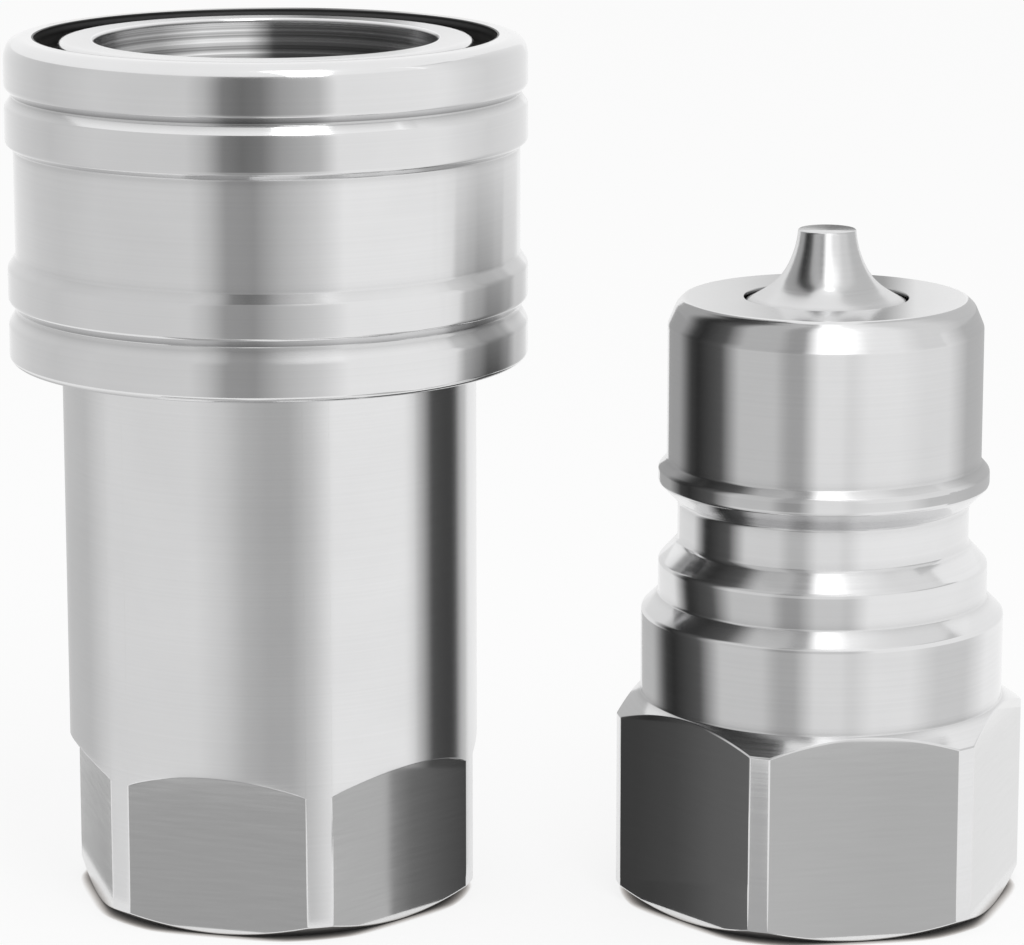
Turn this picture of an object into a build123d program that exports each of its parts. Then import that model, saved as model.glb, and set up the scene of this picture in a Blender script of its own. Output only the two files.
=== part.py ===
from build123d import *
import os
from math import cos, radians, sin, sqrt, tan

os.makedirs("parts", exist_ok=True)

# A quick coupler in two halves, in millimetres. The socket stands on the origin with its axis on
# +Z. The plug stands beside it and is modelled on the Z axis first, then moved to its place.
PLUG_X = 55.43
PLUG_Y = -1.80

# Pipe thread G 3/4 in both ports, drawn at its minor diameter, with a runout groove behind it
PORT_MINOR_R = 12.06
PORT_MAJOR_R = 13.22
PORT_EASE = 0.08
RELIEF_EASE = 0.18
RELIEF_LENGTH = 3.0
SOCKET_PORT_DEPTH = 17.0
PLUG_PORT_DEPTH = 16.5

# Spanner hexagon, the same on both halves
HEX_FLATS = 37.0
SOCKET_HEX_TURN = 15.2
PLUG_HEX_TURN = 39.8
FOOT_CHAMFER = 1.45

# Outside of the plug, as lengths up from its base
PLUG_CORNER_R = 20.8
PLUG_HEX_HEIGHT = 19.1
HEX_CONE_RISE = 1.8
COLLAR_R = 18.2
COLLAR_LENGTH = 8.5
COLLAR_BEVEL = 1.65
STEP_R = 16.5
STEP_LENGTH = 3.4
STEP_BEVEL = 2.09
NECK_R = 14.57
NECK_LENGTH = 3.99
NECK_BEVEL = 1.99
RIDGE_R = 16.55
RIDGE_LENGTH = 1.38
RIDGE_BEVEL = 0.92
NOSE_R = 15.7
NOSE_LENGTH = 13.56
NOSE_CHAMFER = 0.85
NOSE_CHAMFER_LENGTH = 2.02
NOSE_EDGE = 0.7

# Rear body of the socket
REAR_WALL = 2.1
REAR_LENGTH = 59.0
FLAT_HEIGHT = 14.6
FLANK_ANGLE = 41.5
PASSAGE_R = 12.2
PASSAGE_LENGTH = 4.0
CHAMBER_R = 15.0
BODY_THREAD_R = 17.5
BODY_THREAD_LENGTH = 10.5
BODY_THREAD_RUNOUT = 1.0
SPIGOT_STEP = 1.0
SPIGOT_LENGTH = 4.5

# Locking balls
BALL_COUNT = 10
BALL_R = 3.0
BALL_PROUD = 0.15
BALL_SEAT_DROP = 0.35
BALL_SEAT_DEPTH = 1.05

# Front body of the socket, as lengths down from its face
FRONT_RISE = 27.3
FRONT_EDGE = 0.8
ENTRY_LENGTH = 4.9
ENTRY_CHAMFER = 0.55
ENTRY_CHAMFER_LENGTH = 0.7
BALL_DROP = 3.4
BALL_BORE_LENGTH = 9.3
SEAL_SHOULDER = 2.5
SEAL_GROOVE_WIDTH = 4.2
SEAL_GROOVE_DEPTH = 2.4
NOSE_REST_LENGTH = 9.1
STOP_GROOVE_DROP = 1.8
STOP_GROOVE_WIDTH = 1.4
STOP_GROOVE_DEPTH = 0.8
FLANGE_REACH = 2.3
FLANGE_THICKNESS = 2.5
BODY_SEAL_DEPTH = 1.3
BODY_SEAL_WIDTH = 2.4

# Outside of the locking sleeve, as lengths down from its top
SLEEVE_WALL = 2.17
GRIP_DEPTH = 0.77
SLEEVE_TOP_EDGE = 1.15
SLEEVE_FOOT_EDGE = 0.4
LIP_LAND = 4.70
LIP_GROOVE_TOP_BEVEL = 0.89
LIP_GROOVE_FOOT_BEVEL = 1.09
UPPER_LAND = 3.55
UPPER_LAND_BEVEL = 0.64
WAIST_BAND = 10.67
LOWER_LAND_BEVEL = 1.14
LOWER_LAND = 3.15
TAIL_GROOVE_TOP_BEVEL = 0.89
TAIL_GROOVE_FLOOR = 0.30
TAIL_GROOVE_FOOT_BEVEL = 1.30
TAIL_LAND = 3.68

# Inside of the locking sleeve
SLEEVE_TRAVEL = 7.0
MOUTH_DEPTH = 4.0
LOCK_LAND_REACH = 3.0
RELEASE_EXTRA_SLOPE = 0.02
RELEASE_LEAD = 0.1
STOP_OVERLAP = 0.3

# Small rings
STOP_RING_REACH = 2.0
STOP_RING_THICKNESS = 1.2
STOP_RING_SPLIT = 7.0
STOP_RING_TURN = 80
SEAL_SECTION = 2.62
SEAL_PROUD = 0.25
BACKUP_THICKNESS = 1.35
RETAINER_DEPTH = 0.85
RETAINER_WIDTH = 2.15
RETAINER_THICKNESS = 1.3
RETAINER_SPLIT = 8.0
RETAINER_TURN = 60

# Poppet valves, the same head in both halves, as lengths down from the face of their body
VALVE_HOLE_R = 8.17
VALVE_HOLE_LENGTH = 1.8
VALVE_HEAD_R = 11.0
VALVE_HEAD_RIM = 1.83
VALVE_TIP_R = 2.87
VALVE_TIP_RISE = 6.8
VALVE_FLANGE_DROP = 0.4
VALVE_SEAL_R = 0.9
VALVE_SEAL_PROUD = 0.06
BOSS_R = 5.1
BOSS_LENGTH = 1.5
STEM_R = 2.5
STEM_CHAMFER = 0.5
SOCKET_OIL_GAP = 1.6
PLUG_OIL_GAP = 1.0

# Valve guides
PLUG_GUIDE_HEIGHT = 24.0
GUIDE_THICKNESS = 3.0
GUIDE_HUB_RISE = 4.0
GUIDE_DISC_R = 7.4
GUIDE_SPOKE = 3.2
GUIDE_WINDOWS = 3
SOCKET_GUIDE_RIM = 2.3
PLUG_GUIDE_RIM = 1.5

# Springs, of round wire
VALVE_SPRING_R = 6.25
VALVE_WIRE = 1.6
SOCKET_VALVE_TURNS = 6.5
PLUG_VALVE_TURNS = 8.0
SLEEVE_WIRE = 1.5
SLEEVE_TURNS = 3.0

# Clearances between pieces
NOSE_GAP = 0.1
RIDGE_GAP = 0.15
ENTRY_GAP = 0.4
NECK_BALL_GAP = 0.08
RIDGE_BALL_GAP = 0.06
BALL_HOLE_GAP = 0.05
BALL_SEAT_GAP = 0.04
LAND_GAP = 0.15
THREAD_GAP = 0.05
SPIGOT_GAP = 0.05
RUNNING_GAP = 0.08
STOP_RING_GAP = 0.3
FLANGE_GAP = 0.17
SEAT_GAP = 0.1
STEM_GAP = 0.06
GUIDE_GAP = 0.1
GROOVE_GAP = 0.05
SHOULDER_GAP = 0.1
SPRING_END_GAP = 0.02
SLEEVE_SPRING_GAP = 0.28
SEAL_SIDE_GAP = 0.25

# Radii that follow from the plug and the balls
hex_r = HEX_FLATS / 2
port_mouth_r = PORT_MAJOR_R + PORT_EASE
relief_r = PORT_MAJOR_R + RELIEF_EASE
port_chamfer = port_mouth_r - PORT_MINOR_R
nose_bore_r = NOSE_R + NOSE_GAP
ball_bore_r = RIDGE_R + RIDGE_GAP
entry_r = STEP_R + ENTRY_GAP
ball_rest_r = NECK_R + NECK_BALL_GAP + BALL_R
ball_travel = RIDGE_R + RIDGE_BALL_GAP + BALL_R - ball_rest_r
front_r = ball_rest_r + BALL_R - BALL_PROUD
flange_r = front_r + FLANGE_REACH
stop_ring_r = front_r + STOP_RING_REACH
mouth_r = stop_ring_r + STOP_RING_GAP
release_r = stop_ring_r - STOP_OVERLAP
land_r = ball_rest_r + BALL_R + LAND_GAP
spring_chamber_r = flange_r + RUNNING_GAP
waist_r = spring_chamber_r + SLEEVE_WALL
sleeve_r = waist_r + GRIP_DEPTH
spigot_r = BODY_THREAD_R + SPIGOT_STEP
spigot_bore_r = spigot_r + SPIGOT_GAP
rear_r = spigot_bore_r + REAR_WALL
throat_r = VALVE_HEAD_R + SOCKET_OIL_GAP
plug_bore_r = VALVE_HEAD_R + PLUG_OIL_GAP
valve_flange_r = VALVE_HOLE_R - FLANGE_GAP

# Heights in the socket
flange_top = REAR_LENGTH + FLANGE_THICKNESS
spigot_end = REAR_LENGTH - SPIGOT_LENGTH
front_end = spigot_end - BODY_THREAD_LENGTH
body_seal_mid = REAR_LENGTH - SPIGOT_LENGTH / 2
socket_relief_top = SOCKET_PORT_DEPTH + RELIEF_LENGTH
socket_guide_seat = socket_relief_top + PASSAGE_LENGTH
front_face = REAR_LENGTH + FRONT_RISE
entry_foot = front_face - ENTRY_LENGTH
ball_z = entry_foot - BALL_DROP
ball_bore_foot = entry_foot - BALL_BORE_LENGTH
nose_bore_top = ball_bore_foot - (ball_bore_r - nose_bore_r)
seal_groove_top = nose_bore_top - SEAL_SHOULDER
seal_groove_foot = seal_groove_top - SEAL_GROOVE_WIDTH
nose_floor = seal_groove_foot - NOSE_REST_LENGTH
stop_groove_top = front_face - STOP_GROOVE_DROP
stop_groove_foot = stop_groove_top - STOP_GROOVE_WIDTH
sleeve_shoulder = stop_groove_foot - SHOULDER_GAP
sleeve_top = sleeve_shoulder + MOUTH_DEPTH
land_foot = ball_z - LOCK_LAND_REACH

# Heights in the plug
plug_relief_top = PLUG_PORT_DEPTH + RELIEF_LENGTH
retainer_foot = PLUG_GUIDE_HEIGHT - RETAINER_THICKNESS


def around(angle, height=0):
    """Plane through the Z axis whose local x points outward at the given angle and local y up."""
    c, s = cos(radians(angle)), sin(radians(angle))
    return Plane(origin=(0, 0, height), x_dir=(c, s, 0), z_dir=(s, -c, 0))


def down_from(top, steps):
    """Outline points from (radius, length) steps, each length measured on down from the last."""
    points = []
    height = top
    for radius, length in steps:
        height -= length
        points.append((radius, height))
    return points


def up_from(foot, steps):
    """Outline points from (radius, length) steps, each length measured on up from the last."""
    return down_from(foot, [(radius, -length) for radius, length in steps])


def at_plug(piece):
    """Stand a plug piece at the plug's own place."""
    return piece.moved(Location((PLUG_X, PLUG_Y, 0)))


def save(piece, name):
    piece.label = name
    export_step(piece, "parts/" + name + ".step")


# Rear body: a turned bar with six milled flats at its foot, a threaded port below, the valve
# chamber above it, and an internal thread and counterbore for the front body at the top
with BuildPart() as rear_body:
    with BuildSketch(Plane.XZ):
        with BuildLine():
            Polyline(
                (port_mouth_r, 0),
                (hex_r, 0),
                (rear_r, FOOT_CHAMFER),
                (rear_r, REAR_LENGTH),
                (spigot_bore_r, REAR_LENGTH),
                (spigot_bore_r, spigot_end - SHOULDER_GAP),
                (BODY_THREAD_R, spigot_end - SHOULDER_GAP),
                (BODY_THREAD_R, front_end - BODY_THREAD_RUNOUT),
                (CHAMBER_R, front_end - BODY_THREAD_RUNOUT),
                (CHAMBER_R, socket_guide_seat),
                (PASSAGE_R, socket_guide_seat),
                (PASSAGE_R, socket_relief_top),
                (relief_r, socket_relief_top),
                (relief_r, SOCKET_PORT_DEPTH),
                (PORT_MINOR_R, SOCKET_PORT_DEPTH),
                (PORT_MINOR_R, port_chamfer),
                close=True,
            )
        make_face()
    revolve(axis=Axis.Z)
    for side in range(6):
        with BuildSketch(around(SOCKET_HEX_TURN + 60 * side)):
            with BuildLine():
                Polyline(
                    (hex_r, -FOOT_CHAMFER),
                    (hex_r, FLAT_HEIGHT),
                    (hex_r + rear_r, FLAT_HEIGHT + rear_r * tan(radians(FLANK_ANGLE))),
                    (hex_r + rear_r, -FOOT_CHAMFER),
                    close=True,
                )
            make_face()
        extrude(amount=rear_r, both=True, mode=Mode.SUBTRACT)
save(rear_body.part, "rear_body")

# Front body: end ring, balls' wall, flange, threaded spigot, plug bore with its seal groove, and
# the seat of the valve
with BuildPart() as front_body:
    with BuildSketch(Plane.XZ):
        with BuildLine():
            end_face = Line((entry_r + ENTRY_CHAMFER, front_face), (front_r - FRONT_EDGE, front_face))
            edge = RadiusArc(end_face @ 1, (front_r, front_face - FRONT_EDGE), FRONT_EDGE)
            Polyline(
                edge @ 1,
                (front_r, stop_groove_top),
                (front_r - STOP_GROOVE_DEPTH, stop_groove_top),
                (front_r - STOP_GROOVE_DEPTH, stop_groove_foot),
                (front_r, stop_groove_foot),
                (front_r, flange_top),
                (flange_r, flange_top),
                (flange_r, REAR_LENGTH),
                (spigot_r, REAR_LENGTH),
                (spigot_r, body_seal_mid + BODY_SEAL_WIDTH / 2),
                (spigot_r - BODY_SEAL_DEPTH, body_seal_mid + BODY_SEAL_WIDTH / 2),
                (spigot_r - BODY_SEAL_DEPTH, body_seal_mid - BODY_SEAL_WIDTH / 2),
                (spigot_r, body_seal_mid - BODY_SEAL_WIDTH / 2),
                (spigot_r, spigot_end),
                (BODY_THREAD_R - THREAD_GAP, spigot_end),
                (BODY_THREAD_R - THREAD_GAP, front_end),
                (throat_r, front_end),
                (throat_r, nose_floor - VALVE_HOLE_LENGTH - (throat_r - VALVE_HOLE_R)),
                (VALVE_HOLE_R, nose_floor - VALVE_HOLE_LENGTH),
                (VALVE_HOLE_R, nose_floor),
                (nose_bore_r, nose_floor),
                (nose_bore_r, seal_groove_foot),
                (nose_bore_r + SEAL_GROOVE_DEPTH, seal_groove_foot),
                (nose_bore_r + SEAL_GROOVE_DEPTH, seal_groove_top),
                (nose_bore_r, seal_groove_top),
                (nose_bore_r, nose_bore_top),
                (ball_bore_r, ball_bore_foot),
                (ball_bore_r, entry_foot),
                (entry_r, entry_foot),
                (entry_r, front_face - ENTRY_CHAMFER_LENGTH),
                end_face @ 0,
            )
        make_face()
    revolve(axis=Axis.Z)
    # Each ball hole is straight from outside and closes to a seat that stops the ball falling in
    seat_r = sqrt(BALL_R**2 - BALL_SEAT_DEPTH**2) + BALL_SEAT_GAP
    for ball in range(BALL_COUNT):
        hole_plane = around(360 / BALL_COUNT * ball, ball_z)
        with BuildSketch(hole_plane):
            with BuildLine():
                Polyline(
                    (ball_rest_r - BALL_R, 0),
                    (ball_rest_r - BALL_R, seat_r),
                    (ball_rest_r - BALL_SEAT_DEPTH, seat_r),
                    (ball_rest_r - BALL_SEAT_DROP, BALL_R + BALL_HOLE_GAP),
                    (flange_r, BALL_R + BALL_HOLE_GAP),
                    (flange_r, 0),
                    close=True,
                )
            make_face()
        revolve(axis=Axis(hole_plane.origin, hole_plane.x_dir), mode=Mode.SUBTRACT)
save(front_body.part, "front_body")

# Locking balls, at rest on their seats
for ball in range(BALL_COUNT):
    with BuildPart() as locking_ball:
        with Locations(around(360 / BALL_COUNT * ball, ball_z).from_local_coords((ball_rest_r, 0))):
            Sphere(BALL_R)
    save(locking_ball.part, f"ball_{ball + 1}")

# Locking sleeve: grip lands and grooves outside; inside, the mouth, the release cone, the locking
# land over the balls and the spring chamber
release_start = ball_z - RELEASE_LEAD
release_rise = (release_r - land_r) / (ball_travel / SLEEVE_TRAVEL + RELEASE_EXTRA_SLOPE)
grip = down_from(
    sleeve_top,
    [
        (sleeve_r, LIP_LAND),
        (waist_r, LIP_GROOVE_TOP_BEVEL),
        (sleeve_r, LIP_GROOVE_FOOT_BEVEL),
        (sleeve_r, UPPER_LAND),
        (waist_r, UPPER_LAND_BEVEL),
        (waist_r, WAIST_BAND),
        (sleeve_r, LOWER_LAND_BEVEL),
        (sleeve_r, LOWER_LAND),
        (waist_r, TAIL_GROOVE_TOP_BEVEL),
        (waist_r, TAIL_GROOVE_FLOOR),
        (sleeve_r, TAIL_GROOVE_FOOT_BEVEL),
        (sleeve_r, TAIL_LAND - SLEEVE_FOOT_EDGE),
        (sleeve_r - SLEEVE_FOOT_EDGE, SLEEVE_FOOT_EDGE),
    ],
)
sleeve_foot = grip[-1][1]
with BuildPart() as sleeve:
    with BuildSketch(Plane.XZ):
        with BuildLine():
            lip = Line((mouth_r, sleeve_top), (sleeve_r - SLEEVE_TOP_EDGE, sleeve_top))
            rim = RadiusArc(lip @ 1, (sleeve_r, sleeve_top - SLEEVE_TOP_EDGE), SLEEVE_TOP_EDGE)
            Polyline(
                rim @ 1,
                *grip,
                (spring_chamber_r, sleeve_foot),
                (spring_chamber_r, land_foot),
                (land_r, land_foot),
                (land_r, release_start),
                (release_r, release_start + release_rise),
                (release_r, sleeve_shoulder),
                (mouth_r, sleeve_shoulder),
                lip @ 0,
            )
        make_face()
    revolve(axis=Axis.Z)
save(sleeve.part, "sleeve")


def split_ring(inner_r, outer_r, foot, thickness, split, turn):
    """Flat ring with a gap, so that it can be sprung into its groove."""
    with BuildPart() as ring:
        with BuildSketch(Plane.XY.offset(foot)):
            Circle(outer_r)
            Circle(inner_r, mode=Mode.SUBTRACT)
            with PolarLocations((inner_r + outer_r) / 2, 1, start_angle=turn):
                Rectangle(2 * (outer_r - inner_r), split, mode=Mode.SUBTRACT)
        extrude(amount=thickness)
    return ring


def round_ring(section_r, mid_r, mid_z):
    """Ring of round section about the Z axis."""
    with BuildPart() as ring:
        with BuildSketch(Plane.XZ):
            with Locations((mid_r, mid_z)):
                Circle(section_r)
        revolve(axis=Axis.Z)
    return ring


def coil_spring(mean_r, wire, foot, top, turns):
    """Compression spring of round wire between two faces."""
    start = foot + wire / 2 + SPRING_END_GAP
    rise = top - foot - wire - 2 * SPRING_END_GAP
    with BuildPart() as spring:
        with BuildLine():
            path = Helix(pitch=rise / turns, height=rise, radius=mean_r, center=(0, 0, start))
        with BuildSketch(Plane(origin=path @ 0, z_dir=path % 0)):
            Circle(wire / 2)
        sweep(path=path)
    return spring


# Split ring that stops the sleeve coming off over the front body
stop_ring = split_ring(
    front_r - STOP_GROOVE_DEPTH + GROOVE_GAP,
    stop_ring_r,
    stop_groove_foot,
    STOP_RING_THICKNESS,
    STOP_RING_SPLIT,
    STOP_RING_TURN,
)
save(stop_ring.part, "sleeve_stop_ring")

# Rubber ring between the two bodies of the socket, squeezed to a band with full round edges
body_seal_foot_r = spigot_r - BODY_SEAL_DEPTH + GROOVE_GAP / 2
body_seal_thickness = spigot_bore_r - GROOVE_GAP / 2 - body_seal_foot_r
with BuildPart() as body_o_ring:
    with BuildSketch(Plane.XZ):
        with Locations((body_seal_foot_r + body_seal_thickness / 2, body_seal_mid)):
            SlotOverall(BODY_SEAL_WIDTH - 2 * SEAL_SIDE_GAP, body_seal_thickness, rotation=90)
    revolve(axis=Axis.Z)
save(body_o_ring.part, "body_o_ring")

# Rubber ring that grips the nose of the plug, with a stiff ring between it and the mouth
plug_seal = round_ring(
    SEAL_SECTION / 2,
    nose_bore_r - SEAL_PROUD + SEAL_SECTION / 2,
    seal_groove_foot + GROOVE_GAP + SEAL_SECTION / 2,
)
save(plug_seal.part, "plug_seal_o_ring")

with BuildPart() as backup_ring:
    with BuildSketch(Plane.XY.offset(seal_groove_top - GROOVE_GAP - BACKUP_THICKNESS)):
        Circle(nose_bore_r + SEAL_GROOVE_DEPTH - GROOVE_GAP)
        Circle(nose_bore_r + GROOVE_GAP, mode=Mode.SUBTRACT)
    extrude(amount=BACKUP_THICKNESS)
save(backup_ring.part, "backup_ring")

# Spring that holds the sleeve forward
sleeve_spring_r = flange_r - SLEEVE_SPRING_GAP / 2 - SLEEVE_WIRE / 2 - RUNNING_GAP
sleeve_spring = coil_spring(sleeve_spring_r, SLEEVE_WIRE, flange_top, land_foot, SLEEVE_TURNS)
save(sleeve_spring.part, "sleeve_spring")

# The head of a valve, as lengths down from the face of its body
cone_top = VALVE_HOLE_LENGTH - FLANGE_GAP + SEAT_GAP * sqrt(2)
cone_foot = cone_top + VALVE_HEAD_R - valve_flange_r
head_back = cone_foot + VALVE_HEAD_RIM
seal_inset = (VALVE_SEAL_R - VALVE_SEAL_PROUD) / sqrt(2)
valve_seal_r = (valve_flange_r + VALVE_HEAD_R) / 2 - seal_inset
valve_seal_drop = (cone_top + cone_foot) / 2 + seal_inset


def poppet(face, stem_foot):
    """Valve with a trumpet tip, a sealing cone, a spring boss and a stem."""
    with BuildPart() as valve:
        with BuildSketch(Plane.XZ):
            with BuildLine():
                tip = Line((0, face + VALVE_TIP_RISE), (VALVE_TIP_R, face + VALVE_TIP_RISE))
                trumpet = Spline(
                    tip @ 1,
                    (1.22 * VALVE_TIP_R, face + 0.50 * VALVE_TIP_RISE),
                    (1.72 * VALVE_TIP_R, face + 0.21 * VALVE_TIP_RISE),
                    (valve_flange_r, face - VALVE_FLANGE_DROP),
                    tangents=((0.05, -1), (1, -0.42)),
                )
                Polyline(
                    trumpet @ 1,
                    (valve_flange_r, face - cone_top),
                    (VALVE_HEAD_R, face - cone_foot),
                    (VALVE_HEAD_R, face - head_back),
                    (BOSS_R, face - head_back),
                    (BOSS_R, face - head_back - BOSS_LENGTH),
                    (STEM_R, face - head_back - BOSS_LENGTH),
                    (STEM_R, stem_foot + STEM_CHAMFER),
                    (STEM_R - STEM_CHAMFER, stem_foot),
                    (0, stem_foot),
                    tip @ 0,
                )
            make_face()
        revolve(axis=Axis.Z)
        with BuildSketch(Plane.XZ):
            with Locations((valve_seal_r, face - valve_seal_drop)):
                Circle(VALVE_SEAL_R + GROOVE_GAP / 2)
        revolve(axis=Axis.Z, mode=Mode.SUBTRACT)
    return valve


def valve_guide(seat, outer_r, rim):
    """Disc with a hub for the stem and windows for the oil."""
    with BuildPart() as guide:
        with BuildSketch(Plane.XY.offset(seat)):
            Circle(outer_r)
            Circle(outer_r - rim, mode=Mode.SUBTRACT)
            Circle(GUIDE_DISC_R)
            with PolarLocations((GUIDE_DISC_R + outer_r - rim) / 2, GUIDE_WINDOWS):
                Rectangle(outer_r - GUIDE_DISC_R, GUIDE_SPOKE)
        extrude(amount=GUIDE_THICKNESS)
        with BuildSketch(Plane.XY.offset(seat + GUIDE_THICKNESS)):
            Circle(BOSS_R)
        extrude(amount=GUIDE_HUB_RISE)
        with BuildSketch(Plane.XY.offset(seat)):
            Circle(STEM_R + STEM_GAP)
        extrude(amount=GUIDE_THICKNESS + GUIDE_HUB_RISE, mode=Mode.SUBTRACT)
    return guide


def valve_spring(guide_seat, face, turns):
    """Spring between a guide and the back of a valve's head."""
    return coil_spring(
        VALVE_SPRING_R, VALVE_WIRE, guide_seat + GUIDE_THICKNESS, face - head_back, turns
    )


# Plug body: hexagon with turned corners, collar, step, ball groove, ridge and nose
outside = up_from(
    0,
    [
        (PLUG_CORNER_R, FOOT_CHAMFER),
        (PLUG_CORNER_R, PLUG_HEX_HEIGHT - FOOT_CHAMFER),
        (COLLAR_R, HEX_CONE_RISE),
        (COLLAR_R, COLLAR_LENGTH),
        (STEP_R, COLLAR_BEVEL),
        (STEP_R, STEP_LENGTH),
        (NECK_R, STEP_BEVEL),
        (NECK_R, NECK_LENGTH),
        (RIDGE_R, NECK_BEVEL),
        (RIDGE_R, RIDGE_LENGTH),
        (NOSE_R, RIDGE_BEVEL),
        (NOSE_R, NOSE_LENGTH),
        (NOSE_R - NOSE_CHAMFER, NOSE_CHAMFER_LENGTH),
    ],
)
nose_tip_r, nose_tip_z = outside[-1]
plug_face = nose_tip_z + NOSE_EDGE
plug_seat_top = plug_face - VALVE_HOLE_LENGTH
retainer_groove_r = plug_bore_r + RETAINER_DEPTH + GROOVE_GAP
with BuildPart() as plug_body:
    with BuildSketch(Plane.XZ):
        with BuildLine():
            foot = Polyline((port_mouth_r, 0), (hex_r, 0), *outside)
            nose_edge = RadiusArc(foot @ 1, (nose_tip_r - NOSE_EDGE, plug_face), NOSE_EDGE)
            Polyline(
                nose_edge @ 1,
                (VALVE_HOLE_R, plug_face),
                (VALVE_HOLE_R, plug_seat_top),
                (plug_bore_r, plug_seat_top - (plug_bore_r - VALVE_HOLE_R)),
                (plug_bore_r, PLUG_GUIDE_HEIGHT + GROOVE_GAP),
                (retainer_groove_r, PLUG_GUIDE_HEIGHT + GROOVE_GAP),
                (retainer_groove_r, retainer_foot - GROOVE_GAP),
                (plug_bore_r, retainer_foot - GROOVE_GAP),
                (plug_bore_r, plug_relief_top),
                (relief_r, plug_relief_top),
                (relief_r, PLUG_PORT_DEPTH),
                (PORT_MINOR_R, PLUG_PORT_DEPTH),
                (PORT_MINOR_R, port_chamfer),
                foot @ 0,
            )
        make_face()
    revolve(axis=Axis.Z)
    for side in range(6):
        with BuildSketch(around(PLUG_HEX_TURN + 60 * side)):
            with Locations((hex_r, -FOOT_CHAMFER)):
                hex_top = PLUG_HEX_HEIGHT + HEX_CONE_RISE
                Rectangle(hex_r, hex_top + FOOT_CHAMFER, align=(Align.MIN, Align.MIN))
        extrude(amount=hex_r, both=True, mode=Mode.SUBTRACT)
save(at_plug(plug_body.part), "plug_body")

# Valve of the socket, with its seal, guide and spring
save(poppet(nose_floor, socket_guide_seat + STEM_CHAMFER).part, "socket_valve")
save(
    round_ring(VALVE_SEAL_R, valve_seal_r, nose_floor - valve_seal_drop).part, "socket_valve_seal"
)
save(
    valve_guide(socket_guide_seat, CHAMBER_R - GUIDE_GAP, SOCKET_GUIDE_RIM).part,
    "socket_valve_guide",
)
save(
    valve_spring(socket_guide_seat, nose_floor, SOCKET_VALVE_TURNS).part, "socket_valve_spring"
)

# Valve of the plug, with its seal, guide and spring, and the split ring that holds the guide
save(at_plug(poppet(plug_face, PLUG_GUIDE_HEIGHT + STEM_CHAMFER).part), "plug_valve")
plug_valve_seal = round_ring(VALVE_SEAL_R, valve_seal_r, plug_face - valve_seal_drop)
save(at_plug(plug_valve_seal.part), "plug_valve_seal")
plug_guide = valve_guide(PLUG_GUIDE_HEIGHT, plug_bore_r - GUIDE_GAP, PLUG_GUIDE_RIM)
save(at_plug(plug_guide.part), "plug_valve_guide")
plug_valve_spring = valve_spring(PLUG_GUIDE_HEIGHT, plug_face, PLUG_VALVE_TURNS)
save(at_plug(plug_valve_spring.part), "plug_valve_spring")
retainer = split_ring(
    plug_bore_r + RETAINER_DEPTH - RETAINER_WIDTH,
    plug_bore_r + RETAINER_DEPTH,
    retainer_foot,
    RETAINER_THICKNESS,
    RETAINER_SPLIT,
    RETAINER_TURN,
)
save(at_plug(retainer.part), "plug_retaining_ring")
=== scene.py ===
# %% [markdown]
# # A hydraulic quick coupler
#
# The object is an uncoupled pair in turned, plated steel: a socket with a locking sleeve, and a
# plug with a nose and a ball groove. The solids come from the CAD model, which says where every
# piece is. This file gives them their looks: softened edges, coils, threads and finishes.

# %% Load the frame
import math

import bpy
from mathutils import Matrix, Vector


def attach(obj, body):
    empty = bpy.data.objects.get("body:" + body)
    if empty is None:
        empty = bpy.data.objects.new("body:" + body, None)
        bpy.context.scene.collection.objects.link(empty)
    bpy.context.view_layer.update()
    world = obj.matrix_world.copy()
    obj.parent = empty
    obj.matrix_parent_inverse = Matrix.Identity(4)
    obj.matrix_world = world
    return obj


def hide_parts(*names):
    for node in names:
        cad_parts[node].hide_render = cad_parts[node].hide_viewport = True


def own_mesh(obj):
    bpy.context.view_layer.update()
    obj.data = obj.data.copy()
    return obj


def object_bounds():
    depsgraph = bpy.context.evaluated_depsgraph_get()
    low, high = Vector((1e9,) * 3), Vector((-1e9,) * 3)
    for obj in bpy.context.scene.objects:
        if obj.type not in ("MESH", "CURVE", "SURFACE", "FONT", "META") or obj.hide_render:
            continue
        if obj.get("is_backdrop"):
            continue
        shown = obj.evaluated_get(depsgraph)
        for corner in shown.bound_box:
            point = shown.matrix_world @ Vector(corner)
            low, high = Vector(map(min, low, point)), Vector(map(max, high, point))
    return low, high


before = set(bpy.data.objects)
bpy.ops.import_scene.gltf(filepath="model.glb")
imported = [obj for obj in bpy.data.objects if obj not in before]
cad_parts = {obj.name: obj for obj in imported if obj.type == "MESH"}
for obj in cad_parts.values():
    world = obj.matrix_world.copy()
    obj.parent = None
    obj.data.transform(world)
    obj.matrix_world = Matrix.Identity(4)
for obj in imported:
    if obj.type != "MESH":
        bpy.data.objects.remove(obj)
cad_low, cad_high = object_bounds()
MM = 0.001


def linked(name, data):
    """A new object for a mesh, lamp or camera, put into the scene."""
    made = bpy.data.objects.new(name, data)
    bpy.context.scene.collection.objects.link(made)
    return made


# %% [markdown]
# ## The camera
#
# A product photograph like this one is taken with a long lens, a little from above. The place and
# the focal length below were found by matching the rims and edges of both halves, so that the
# render and the photograph can be laid over each other.

# %% Camera
CAMERA_PLACE = (24.23, -436.40, 137.28)
CAMERA_PITCH = 12.211
CAMERA_LENS = 156.1

camera_data = bpy.data.cameras.new("camera")
camera_data.lens = CAMERA_LENS
camera_data.clip_start = 0.01
camera = linked("camera", camera_data)
camera.location = Vector(CAMERA_PLACE) * MM
camera.rotation_euler = (math.radians(90 - CAMERA_PITCH), 0, 0)
bpy.context.scene.camera = camera
print("camera", [round(c, 4) for c in camera.location])

# %% [markdown]
# ## Helpers for node trees
#
# Materials, the world and Geometry Nodes are all trees of nodes. One helper adds a node, gives it
# its settings, and fills each input with a number or with a link from another node. The others
# shorten what comes up again: a sum, a colour between two, and a tree that starts empty.

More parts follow.
